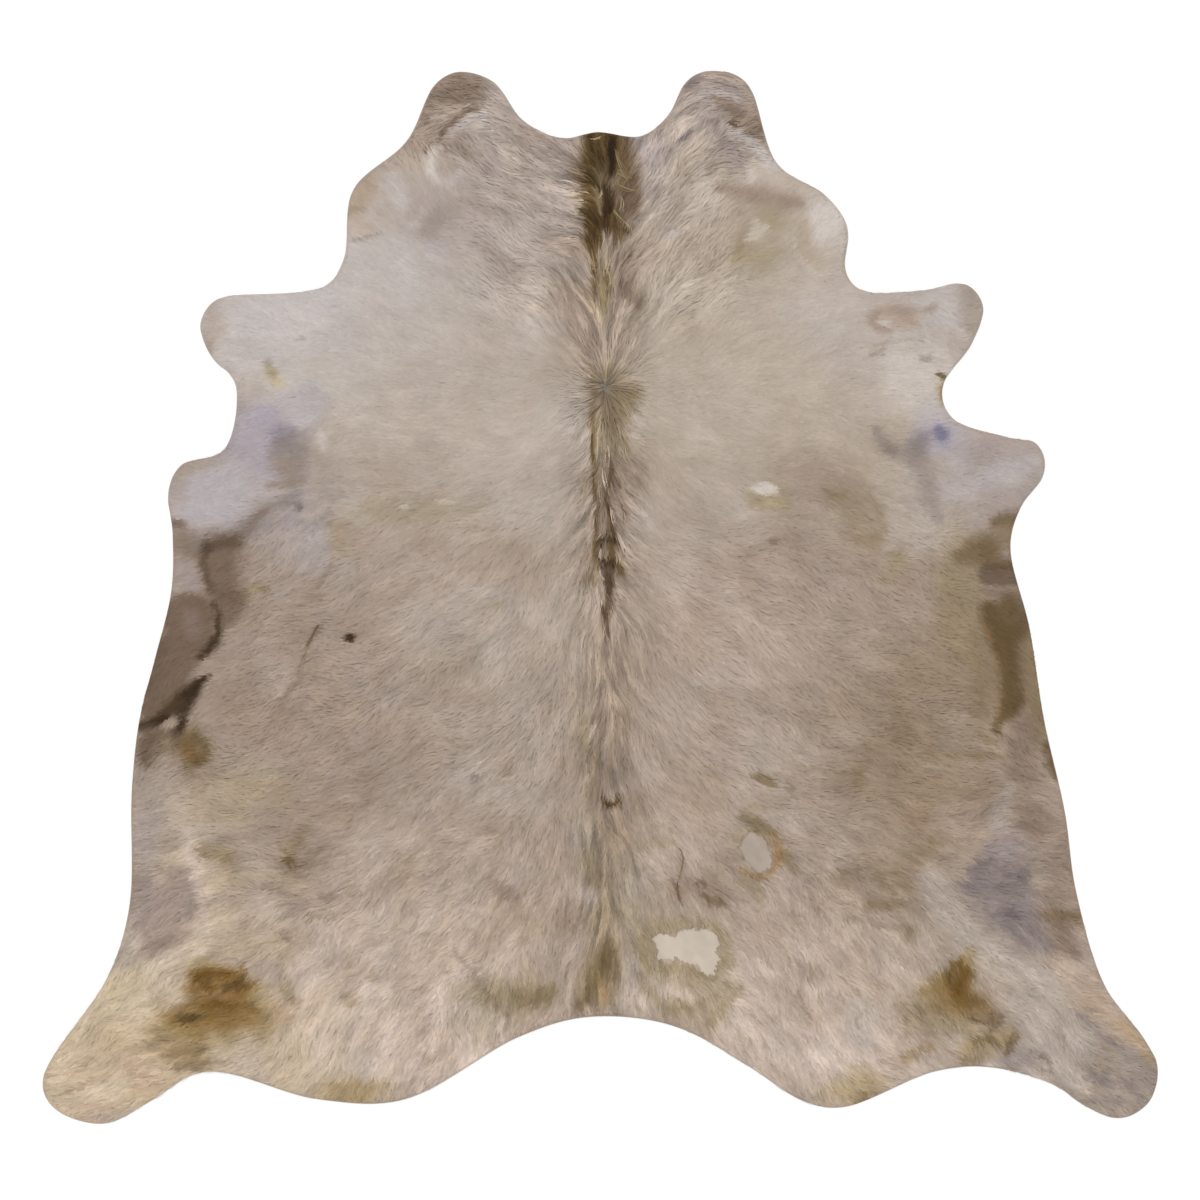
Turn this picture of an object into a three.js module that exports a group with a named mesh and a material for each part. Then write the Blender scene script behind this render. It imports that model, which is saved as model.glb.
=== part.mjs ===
// A whole cowhide rug, laid out flat with the hair side up.
// Millimetres, +Z up. The underside lies on z = 0, +Y points to the neck end
// and +X to the right seen from above. The origin is under the middle of the
// outline's bounding box.

import * as THREE from 'three';

// ---------------------------------------------------------------- dimensions
const HIDE_WIDTH = 2230;        // across the two hind-leg tips
const HIDE_LENGTH = 2106;       // neck tips to hind-leg tips
const SKIN_THICKNESS = 2.5;     // tanned skin, seen at the cut edge
const PILE_HEIGHT = 3.5;        // short hair lying over on the skin
const PILE_SETBACK = 6;         // the lying hair rounds off this far in from the cut
const EDGE_STEP = 28;           // spacing of the points along the cut edge

// --------------------------------------------------------------- the cut edge
// Landmarks of the cut, clockwise from the middle of the neck, one row for each
// turn of the knife. x and y are measured from the middle of the hide.
const CUT = [
  // neck, right half
  { place: 'neck peak on the spine', x: -7, y: 929 },
  { place: 'neck dip, right', x: 81, y: 921 },
  { place: 'neck lobe root, right', x: 134, y: 961 },
  { place: 'neck lobe inner flank, right', x: 169, y: 1026 },
  { place: 'neck lobe tip inner, right', x: 203, y: 1049 },
  { place: 'neck lobe tip outer, right', x: 271, y: 1043 },
  { place: 'neck lobe outer corner, right', x: 300, y: 1015 },
  { place: 'neck lobe foot, right', x: 354, y: 865 },
  // shoulder and foreleg, right
  { place: 'shoulder crest, right', x: 450, y: 802 },
  { place: 'shoulder point, right', x: 493, y: 740 },
  { place: 'shoulder notch upper, right', x: 490, y: 651 },
  { place: 'shoulder notch lower, right', x: 519, y: 614 },
  { place: 'foreleg top edge, right', x: 639, y: 612 },
  { place: 'foreleg upper corner, right', x: 729, y: 625 },
  { place: 'foreleg tip, right', x: 764, y: 583 },
  { place: 'foreleg lower corner, right', x: 743, y: 509 },
  { place: 'elbow notch, right', x: 683, y: 418 },
  { place: 'elbow notch foot, right', x: 702, y: 359 },
  { place: 'elbow lobe top, right', x: 809, y: 320 },
  { place: 'elbow lobe corner, right', x: 873, y: 305 },
  { place: 'elbow lobe tip, right', x: 887, y: 250 },
  { place: 'elbow lobe foot, right', x: 840, y: 180 },
  // flank, right
  { place: 'belly edge narrowest, right', x: 819, y: 103 },
  { place: 'belly edge upper, right', x: 857, y: -61 },
  { place: 'belly edge middle, right', x: 886, y: -244 },
  { place: 'belly edge lower, right', x: 928, y: -431 },
  { place: 'thigh edge upper, right', x: 950, y: -587 },
  { place: 'thigh edge lower, right', x: 1008, y: -777 },
  // hind leg, right
  { place: 'hind leg outer shoulder, right', x: 1087, y: -884 },
  { place: 'hind leg outer corner, right', x: 1113, y: -939 },
  { place: 'hind leg lower corner, right', x: 1096, y: -1008 },
  { place: 'hind leg tip, right', x: 1039, y: -1041 },
  { place: 'hind leg tip inner, right', x: 967, y: -1016 },
  { place: 'hind leg inner corner, right', x: 905, y: -974 },
  { place: 'hind leg hollow outer, right', x: 777, y: -939 },
  { place: 'hind leg hollow inner, right', x: 670, y: -947 },
  // rump
  { place: 'rump lobe outer, right', x: 484, y: -1019 },
  { place: 'rump lobe inner, right', x: 408, y: -1008 },
  { place: 'rump slope lower, right', x: 294, y: -936 },
  { place: 'rump slope upper, right', x: 173, y: -867 },
  { place: 'tail hollow, right', x: 79, y: -842 },
  { place: 'tail hollow, left', x: -43, y: -841 },
  { place: 'rump slope upper, left', x: -164, y: -879 },
  { place: 'rump lobe inner, left', x: -394, y: -1004 },
  { place: 'rump lobe outer, left', x: -565, y: -1003 },
  // hind leg, left
  { place: 'hind leg hollow, left', x: -791, y: -948 },
  { place: 'hind leg inner corner, left', x: -899, y: -1007 },
  { place: 'hind leg tip, left', x: -992, y: -1052 },
  { place: 'hind leg lower corner, left', x: -1091, y: -1021 },
  { place: 'hind leg outer corner, left', x: -1114, y: -966 },
  { place: 'thigh edge lower, left', x: -982, y: -755 },
  { place: 'thigh edge upper, left', x: -941, y: -618 },
  // flank, left
  { place: 'belly edge lower, left', x: -936, y: -386 },
  { place: 'belly edge middle, left', x: -921, y: -246 },
  { place: 'belly edge bulge, left', x: -889, y: -120 },
  { place: 'belly edge upper, left', x: -857, y: 14 },
  { place: 'belly edge narrowest, left', x: -855, y: 133 },
  // foreleg and shoulder, left
  { place: 'elbow lobe tip, left', x: -863, y: 211 },
  { place: 'elbow lobe corner, left', x: -838, y: 263 },
  { place: 'elbow lobe top, left', x: -752, y: 294 },
  { place: 'elbow notch, left', x: -730, y: 429 },
  { place: 'foreleg lower corner, left', x: -777, y: 480 },
  { place: 'foreleg tip, left', x: -799, y: 547 },
  { place: 'foreleg upper corner, left', x: -774, y: 589 },
  { place: 'foreleg top start, left', x: -749, y: 600 },
  { place: 'foreleg top edge, left', x: -549, y: 622 },
  { place: 'shoulder notch, left', x: -513, y: 675 },
  { place: 'shoulder point, left', x: -494, y: 813 },
  { place: 'shoulder crest, left', x: -387, y: 911 },
  // neck, left half
  { place: 'neck lobe outer corner, left', x: -330, y: 1024 },
  { place: 'neck lobe tip, left', x: -285, y: 1049 },
  { place: 'neck lobe inner corner, left', x: -215, y: 1030 },
  { place: 'neck lobe root, left', x: -153, y: 951 },
  { place: 'neck dip, left', x: -77, y: 917 },
];

// ------------------------------------------------------------------ functions
// One smooth closed line through the landmarks, sampled evenly, with its
// bounding box brought to the stated width and length about the origin.
function cutEdge() {
  const knots = CUT.map(({ x, y }) => new THREE.Vector3(x, y, 0));
  const curve = new THREE.CatmullRomCurve3(knots, true, 'centripetal');
  curve.arcLengthDivisions = 40 * CUT.length;
  const count = Math.round(curve.getLength() / EDGE_STEP);
  const points = [];
  for (let i = 0; i < count; i++) {
    const p = curve.getPointAt(i / count);
    points.push(new THREE.Vector2(p.x, p.y));
  }
  const box = new THREE.Box2().setFromPoints(points);
  const middle = box.getCenter(new THREE.Vector2());
  const size = box.getSize(new THREE.Vector2());
  const scale = new THREE.Vector2(HIDE_WIDTH / size.x, HIDE_LENGTH / size.y);
  for (const p of points) p.sub(middle).multiply(scale);
  if (THREE.ShapeUtils.isClockWise(points)) points.reverse();
  return points;
}

// The same closed line moved inwards by a set distance along its own normals.
function movedIn(points, distance) {
  const n = points.length;
  return points.map((p, i) => {
    const before = points[(i + n - 1) % n];
    const after = points[(i + 1) % n];
    const along = after.clone().sub(before).normalize();
    return new THREE.Vector2(p.x - along.y * distance, p.y + along.x * distance);
  });
}

// A closed solid through a stack of rings that have the same number of points:
// flat caps at the first and the last, and a wall between each two.
function ringSolid(rings) {
  const n = rings[0].points.length;
  const positions = [];
  for (const { points, z } of rings) for (const p of points) positions.push(p.x, p.y, z);
  const index = [];
  const last = (rings.length - 1) * n;
  for (const [a, b, c] of THREE.ShapeUtils.triangulateShape(rings[0].points, [])) index.push(a, c, b);
  for (const [a, b, c] of THREE.ShapeUtils.triangulateShape(rings[rings.length - 1].points, [])) {
    index.push(last + a, last + b, last + c);
  }
  for (let r = 0; r + 1 < rings.length; r++) {
    const low = r * n;
    const high = low + n;
    for (let i = 0; i < n; i++) {
      const j = (i + 1) % n;
      index.push(low + i, low + j, high + j, low + i, high + j, high + i);
    }
  }
  const geometry = new THREE.BufferGeometry();
  geometry.setAttribute('position', new THREE.Float32BufferAttribute(positions, 3));
  geometry.setIndex(index);
  geometry.computeVertexNormals();
  return geometry;
}

// ---------------------------------------------------------------------- model
const edge = cutEdge();
const pileEdge = movedIn(edge, PILE_SETBACK);

const hide = new THREE.Mesh(
  ringSolid([
    { points: edge, z: 0 },
    { points: edge, z: SKIN_THICKNESS },
    { points: pileEdge, z: SKIN_THICKNESS + PILE_HEIGHT },
  ]),
  new THREE.MeshStandardMaterial({ color: 0xac9a86, roughness: 0.85, metalness: 0 }),
);
hide.name = 'hide';

const rug = new THREE.Group();
rug.add(hide);

export default rug;
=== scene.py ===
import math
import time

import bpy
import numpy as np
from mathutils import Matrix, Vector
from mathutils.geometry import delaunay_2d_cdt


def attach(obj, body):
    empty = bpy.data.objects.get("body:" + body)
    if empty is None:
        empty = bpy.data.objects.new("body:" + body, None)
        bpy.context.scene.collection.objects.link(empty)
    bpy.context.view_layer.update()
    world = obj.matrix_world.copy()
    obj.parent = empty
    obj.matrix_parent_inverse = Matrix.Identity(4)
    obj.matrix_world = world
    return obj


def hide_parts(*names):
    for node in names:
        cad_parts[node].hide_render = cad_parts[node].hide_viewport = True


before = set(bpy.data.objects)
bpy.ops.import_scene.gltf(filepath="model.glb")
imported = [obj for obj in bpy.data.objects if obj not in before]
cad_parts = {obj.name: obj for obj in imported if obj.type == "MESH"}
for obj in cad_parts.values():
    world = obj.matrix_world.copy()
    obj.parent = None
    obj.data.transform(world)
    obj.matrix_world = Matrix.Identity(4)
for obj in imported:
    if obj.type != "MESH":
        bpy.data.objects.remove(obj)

# A whole cowhide rug, hair side up: one tanned skin, and on it the coat, made of
# locks of hair that follow the lie of the coat from the spine out to the legs.
#
# Places on the hide are given as (across, down) in units of 2 mm, counted from
# the top left corner of a 2.4 m square that the hide fills. PLACE turns them
# into metres in the part's frame.

STARTED = time.perf_counter()
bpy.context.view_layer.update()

UNIT = 0.002                       # metres to one unit of place
MIDDLE = (600.5, 597.5)            # the place over the frame's origin
SPAN = 1200                        # units along each side of the square

SKIN_TOP = 0.0025                  # the tanned skin's thickness
EDGE_ROUND = 0.0005                # the cut edge's small rounding
SKIN_STEP = 0.012                  # spacing of the skin's own points
FLESH_STEP = 0.034                 # and on the flesh side

# ---------------------------------------------------------------- palette
# Colours as they look in even light, red green blue out of 255.
COLOUR = {
    "taupe": (169, 153, 139),
    "cream grey": (184, 171, 159),
    "warm cream": (186, 171, 154),
    "pale lilac": (195, 186, 181),
    "milk": (211, 201, 192),
    "rose taupe": (176, 157, 142),
    "pink cream": (186, 168, 152),
    "flank taupe": (158, 140, 125),
    "flank olive": (149, 130, 110),
    "leg cream": (202, 182, 156),
    "leg grey": (161, 147, 134),
    "lilac white": (184, 175, 176),
    "lilac": (172, 163, 172),
    "violet": (150, 142, 160),
    "smoke": (140, 128, 122),
    "dark smoke": (116, 104, 104),
    "mauve": (162, 147, 142),
    "olive": (134, 116, 90),
    "pale olive": (155, 139, 112),
    "dark olive": (104, 86, 58),
    "stripe": (84, 66, 42),
    "black brown": (58, 44, 32),
    "brown": (113, 94, 79),
    "grey brown": (134, 116, 101),
    "olive brown": (100, 80, 56),
    "golden": (128, 98, 55),
    "dark golden": (100, 73, 34),
    "pale golden": (161, 139, 101),
    "straw": (188, 171, 134),
    "tan": (171, 147, 121),
    "peach": (192, 167, 146),
    "rust": (146, 113, 79),
    "slate": (66, 68, 72),
    "scar cream": (193, 180, 164),
    "scar grey": (166, 152, 138),
    "pale pink": (204, 186, 172),
    "belly dark": (76, 61, 47),
    "belly brown": (108, 91, 76),
    "moss": (141, 124, 94),
    "blue": (118, 115, 134),
    "cool taupe": (173, 160, 153),
    "thigh smoke": (134, 122, 119),
    "leg gold": (176, 152, 118),
    "olive gold": (131, 106, 68),
    "blond": (170, 153, 127),
    "fawn": (158, 141, 121),
    "back cream": (190, 176, 162),
    "cool grey": (160, 149, 147),
    "chestnut": (122, 96, 66),
    "thigh mauve": (160, 142, 131),
    "curl gold": (146, 128, 94),
}

# ------------------------------------------------------------- lie of the coat
# Heading of the hair tips at stations on the hide, in degrees: 0 to the right,
# 90 to the neck, 180 to the left, 270 to the tail.
SPINE = [  # down, across
    (60, 600), (133, 600), (240, 597), (386, 606), (560, 608), (640, 607), (800, 609), (860, 601), (1020, 599), (1180, 599),
]
WHORL = (606, 386)
LIE_SPINE = [  # across, down, heading
    (600, 140, 92), (598, 240, 90), (602, 330, 90), (606, 440, 270), (607, 560, 270),
    (606, 650, 270), (605, 750, 270), (602, 850, 270), (600, 950, 270), (600, 1010, 270),
]
LIE_LEFT = [  # across, down, heading
    (455, 92, 168), (485, 92, 160), (440, 125, 222), (462, 112, 218), (432, 160, 94), (462, 150, 126), (540, 165, 150), (571, 190, 164), (570, 235, 156), (588, 275, 112),
    (583, 320, 116), (572, 352, 132), (520, 200, 150), (500, 260, 148), (480, 320, 156), (430, 260, 154),
    (400, 330, 170), (440, 400, 180), (370, 210, 140), (330, 300, 170), (225, 325, 176), (300, 370, 181),
    (250, 420, 186), (200, 490, 185), (540, 390, 180), (560, 420, 206), (572, 452, 229), (540, 480, 206),
    (480, 460, 191), (400, 460, 183), (330, 460, 180), (572, 520, 228), (545, 550, 221), (562, 610, 245),
    (582, 660, 262), (520, 640, 230), (460, 600, 215), (400, 560, 211), (340, 530, 196), (290, 560, 226),
    (260, 600, 204), (180, 580, 200), (180, 650, 212), (165, 720, 222), (250, 680, 190), (320, 680, 194),
    (400, 700, 206), (470, 720, 215), (540, 720, 240), (577, 720, 260), (200, 790, 184), (300, 790, 189),
    (380, 800, 204), (450, 820, 215), (530, 820, 235), (574, 840, 260), (150, 850, 202), (200, 870, 194),
    (280, 880, 190), (350, 890, 214), (430, 920, 228), (510, 930, 240), (566, 950, 260), (150, 950, 224),
    (220, 970, 204), (300, 950, 228), (380, 980, 236), (460, 1000, 240), (540, 1000, 250), (100, 1040, 220),
    (80, 1090, 214), (150, 1050, 209), (230, 1030, 200), (300, 1050, 234), (370, 1080, 240),
]
LIE_RIGHT = [  # across, down, heading
    (690, 100, 22), (715, 84, 6), (745, 96, 350), (745, 122, 350), (752, 146, 320), (764, 162, 312), (706, 132, 52), (660, 150, 56), (640, 190, 52), (650, 250, 50), (640, 310, 62),
    (625, 350, 76), (690, 200, 48), (720, 260, 42), (700, 330, 34), (760, 180, 40), (800, 230, 34),
    (780, 300, 22), (850, 330, 12), (920, 310, 10), (970, 310, 8), (740, 380, 8), (660, 385, 2),
    (820, 400, 0), (900, 400, 0), (950, 430, 0), (1020, 465, 356), (640, 420, 326), (650, 460, 322),
    (700, 440, 344), (780, 450, 350), (860, 470, 350), (940, 500, 350), (990, 530, 345), (640, 510, 318),
    (690, 520, 335), (760, 520, 345), (850, 550, 345), (930, 580, 346), (1000, 590, 342), (630, 580, 305),
    (660, 610, 318), (720, 600, 330), (800, 620, 335), (880, 640, 348), (960, 650, 350), (1018, 650, 318),
    (626, 660, 290), (660, 690, 312), (720, 690, 325), (800, 690, 335), (880, 720, 350), (960, 730, 352),
    (1032, 740, 310), (622, 740, 284), (660, 770, 310), (730, 770, 324), (800, 780, 335), (880, 790, 350),
    (960, 800, 355), (1040, 810, 344), (620, 830, 290), (660, 850, 308), (740, 860, 315), (820, 870, 322),
    (900, 860, 334), (980, 870, 350), (1050, 890, 344), (630, 920, 284), (700, 930, 308), (780, 950, 308),
    (860, 950, 305), (930, 960, 310), (1010, 950, 325), (1080, 970, 320), (640, 990, 280), (700, 1010, 303),
    (780, 1040, 305), (850, 1060, 308), (920, 1030, 312), (1000, 1030, 320), (1080, 1050, 318), (1120, 1090, 315),
]

# ------------------------------------------------------------ bare skin (scars)
# Where no hair grows: across, down, half width, half height, turn in degrees.
BARE = [
    ("flank scar", 757, 853, 15.5, 20, 8),
    ("rump scar, middle", 690, 945, 20, 16.5, 10),
    ("rump scar, left arm", 668, 949, 12.5, 12, -20),
    ("rump scar, right arm", 706, 939, 10.5, 10, 0),
    ("rump scar, foot", 706, 960, 9.5, 9.5, 0),
]

# -------------------------------------------------------------- broad washes
# name, across, down, half width, half height, turn, colour, amount, softness
WASHES = [
    ("upper left back", 420, 330, 190, 130, 20, "cream grey", 1.0, 1.4),
    ("left shoulder", 345, 298, 110, 76, 10, "pale lilac", 0.85, 1.3),
    ("left foreleg", 262, 335, 90, 54, 0, "pale lilac", 0.8, 1.0),
    ("left mid back", 440, 400, 130, 80, 0, "cream grey", 0.6, 1.5),
    ("upper right back", 760, 330, 170, 120, -20, "warm cream", 0.8, 1.4),
    ("right shoulder", 880, 320, 120, 70, 0, "pale lilac", 0.45, 1.4),
    ("right mid back", 745, 410, 110, 62, 0, "warm cream", 0.8, 1.3),
    ("right back, bright band", 715, 405, 60, 40, 0, "back cream", 0.8, 1.3),
    ("right elbow back", 915, 500, 70, 84, 0, "warm cream", 0.9, 1.2),
    ("right foreleg root", 905, 388, 56, 38, 0, "milk", 0.65, 1.3),
    ("right foreleg, outer", 940, 305, 34, 24, 0, "pale lilac", 0.6, 1.3),
    ("right elbow back, pale", 908, 515, 30, 48, 0, "cream grey", 0.7, 1.2),
    ("right back low, dim", 865, 580, 90, 42, 0, "flank taupe", 0.7, 1.3),
    ("right back, dim", 815, 488, 50, 34, 0, "flank taupe", 0.55, 1.2),
    ("right back, pale spot", 662, 618, 24, 26, 0, "cream grey", 0.6, 1.2),
    ("right elbow foot, pale", 905, 538, 26, 20, 0, "cream grey", 0.6, 1.2),
    ("right foreleg root, dim", 862, 400, 30, 44, 0, "taupe", 0.35, 1.2),
    ("right elbow lobe field", 985, 480, 66, 50, 0, "cool taupe", 0.85, 1.2),
    ("neck centre left", 540, 180, 60, 90, 0, "mauve", 0.45, 1.4),
    ("spine surround upper", 594, 285, 40, 66, 0, "flank taupe", 0.85, 1.1),
    ("spine surround middle", 616, 480, 20, 110, 0, "grey brown", 0.4, 1.0),
    ("left of the stripe", 530, 215, 44, 40, 0, "cream grey", 0.6, 1.3),
    ("below the left neck lobe", 445, 225, 40, 40, 0, "mauve", 0.45, 1.3),
    ("left neck lobe, right side", 500, 140, 28, 30, 0, "cream grey", 0.8, 1.3),
    ("right of the stripe, top", 652, 142, 20, 24, 0, "mauve", 0.85, 1.2),
    ("right shoulder crest", 782, 182, 34, 26, -30, "back cream", 0.85, 1.2),
    ("right neck root", 700, 190, 40, 56, 0, "back cream", 0.85, 1.2),
    ("right neck lobe", 702, 108, 34, 38, 0, "cream grey", 0.8, 1.2),
    ("right shoulder, dim", 738, 222, 26, 22, 0, "flank taupe", 0.4, 1.2),
    ("left mid flank", 280, 700, 160, 140, 0, "flank taupe", 0.75, 1.4),
    ("left low flank", 260, 705, 44, 34, 0, "rose taupe", 0.4, 1.3),
    ("left mid band", 350, 560, 130, 40, 0, "flank taupe", 0.3, 1.4),
    ("left belly root", 290, 540, 44, 32, 0, "cool grey", 0.65, 1.2),
    ("left elbow inner", 302, 505, 30, 24, 0, "cool grey", 0.7, 1.2),
    ("left back, bright band", 475, 428, 125, 30, 0, "back cream", 0.75, 1.3),
    ("left foreleg root", 330, 392, 60, 30, 0, "milk", 0.35, 1.3),
    ("left elbow root", 372, 462, 60, 26, 0, "taupe", 0.75, 1.3),
    ("left elbow root, pale", 338, 505, 24, 20, 0, "cream grey", 0.7, 1.2),
    ("left belly tufts, pale", 300, 545, 22, 18, 0, "cool taupe", 0.7, 1.2),
    ("left elbow, outer lilac", 302, 414, 30, 24, 0, "lilac white", 0.75, 1.2),
    ("left back band", 505, 500, 60, 32, 0, "cream grey", 0.7, 1.3),
    ("right back band", 705, 505, 64, 44, 0, "cream grey", 0.65, 1.3),
    ("left centre", 450, 650, 100, 120, 0, "taupe", 0.5, 1.4),
    ("left centre, pale", 472, 640, 50, 46, 0, "cream grey", 0.38, 1.3),
    ("left back, pale", 505, 530, 50, 26, 0, "cream grey", 0.5, 1.3),
    ("left of the spine, pale", 545, 674, 28, 50, 0, "cream grey", 0.3, 1.3),
    ("left of spine, low", 570, 800, 50, 130, 0, "flank taupe", 0.5, 1.3),
    ("spine, low", 604, 850, 34, 160, 0, "pale olive", 0.5, 1.2),
    ("spine, middle low", 616, 778, 30, 50, 0, "grey brown", 0.85, 1.3),
    ("right of the smile", 690, 810, 56, 44, 0, "tan", 0.35, 1.3),
    ("left low dim", 432, 820, 36, 24, 0, "flank taupe", 0.65, 1.3),
    ("left of centre, low", 490, 862, 50, 46, 0, "flank taupe", 0.3, 1.3),
    ("left of the spine foot", 545, 905, 50, 34, 0, "flank taupe", 0.95, 1.3),
    ("left of the spine foot, dim", 530, 902, 36, 22, 0, "flank olive", 0.5, 1.2),
    ("rump right of the spine", 632, 930, 34, 34, 0, "pale olive", 0.75, 1.3),
    ("round the flank scar", 748, 888, 46, 24, 0, "flank taupe", 0.8, 1.3),
    ("left of the flank scar", 704, 886, 44, 30, 0, "flank olive", 0.5, 1.3),
    ("right of spine", 710, 665, 76, 160, 0, "rose taupe", 0.5, 1.3),
    ("right far flank", 925, 740, 110, 120, 0, "flank olive", 0.9, 1.3),
    ("lower right, olive dim", 888, 882, 44, 40, 0, "flank olive", 0.85, 1.2),
    ("lower right, pale spot", 958, 824, 34, 20, 0, "rose taupe", 0.6, 1.2),
    ("right belly edge", 1050, 850, 60, 110, -10, "flank taupe", 0.6, 1.2),
    ("right thigh, edge dim", 1026, 838, 20, 34, 0, "grey brown", 0.7, 1.0),
    ("lower left", 410, 950, 170, 110, 0, "pink cream", 0.95, 1.2),
    ("left thigh, pink", 295, 945, 50, 30, 0, "pale pink", 0.2, 1.2),
    ("left rump, pale", 458, 976, 40, 50, 0, "pale pink", 0.6, 1.2),
    ("lower right", 790, 1010, 150, 100, 0, "pink cream", 0.95, 1.2),
    ("right rump, pale", 765, 1015, 52, 56, 0, "pale pink", 0.6, 1.3),
    ("right elbow lobe, pale", 1024, 462, 28, 28, 0, "milk", 0.35, 1.2),
    ("left leg, pale", 96, 1062, 30, 18, 0, "leg cream", 0.6, 1.2),
    ("right leg root, dim", 1022, 1016, 20, 24, 0, "grey brown", 0.4, 1.2),
    ("right of the rump scar", 752, 945, 24, 30, 0, "pink cream", 0.7, 1.2),
    ("below the rump scar", 690, 992, 44, 18, 0, "pale olive", 0.5, 1.2),
    ("left thigh", 222, 934, 60, 34, 0, "leg cream", 0.6, 1.3),
    ("left thigh, bright", 196, 866, 36, 26, 0, "leg cream", 0.65, 1.2),
    ("left thigh, dim", 295, 862, 26, 16, 0, "flank olive", 0.4, 1.3),
    ("left low, dim", 335, 864, 42, 20, 0, "flank taupe", 0.15, 1.2),
    ("left thigh, tan band", 305, 898, 66, 18, 0, "flank taupe", 0.4, 1.3),
    ("left thigh, straw", 180, 822, 22, 20, 0, "leg cream", 0.5, 1.3),
    ("left hind leg", 100, 1060, 110, 90, 40, "leg cream", 1.0, 1.0),
    ("left hind leg, warm", 160, 1045, 60, 34, 10, "leg gold", 0.5, 1.3),
    ("left rump lobe", 320, 1050, 90, 50, 0, "leg cream", 0.8, 1.2),
    ("left rump lobe, pink", 425, 1050, 80, 44, 0, "pale pink", 1.0, 1.2),
    ("left rump, pink", 330, 1000, 50, 40, 0, "pale pink", 0.55, 1.3),
    ("left rump edge, moss", 492, 1010, 34, 22, 0, "pale olive", 0.4, 1.3),
    ("left rump moss field", 505, 984, 36, 22, 0, "pale olive", 0.35, 1.2),
    ("right rump lobe", 840, 1055, 80, 45, 0, "pale pink", 0.75, 1.2),
    ("right hind leg", 1092, 1066, 92, 70, -40, "leg grey", 0.9, 1.1),
    ("right hind leg, tip", 1145, 1060, 20, 30, 0, "smoke", 0.4, 1.2),
    ("right hind leg, hollow", 1020, 1062, 26, 18, 0, "smoke", 0.5, 1.2),
    ("rump centre", 600, 980, 60, 60, 0, "flank taupe", 0.3, 1.3),
]

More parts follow.
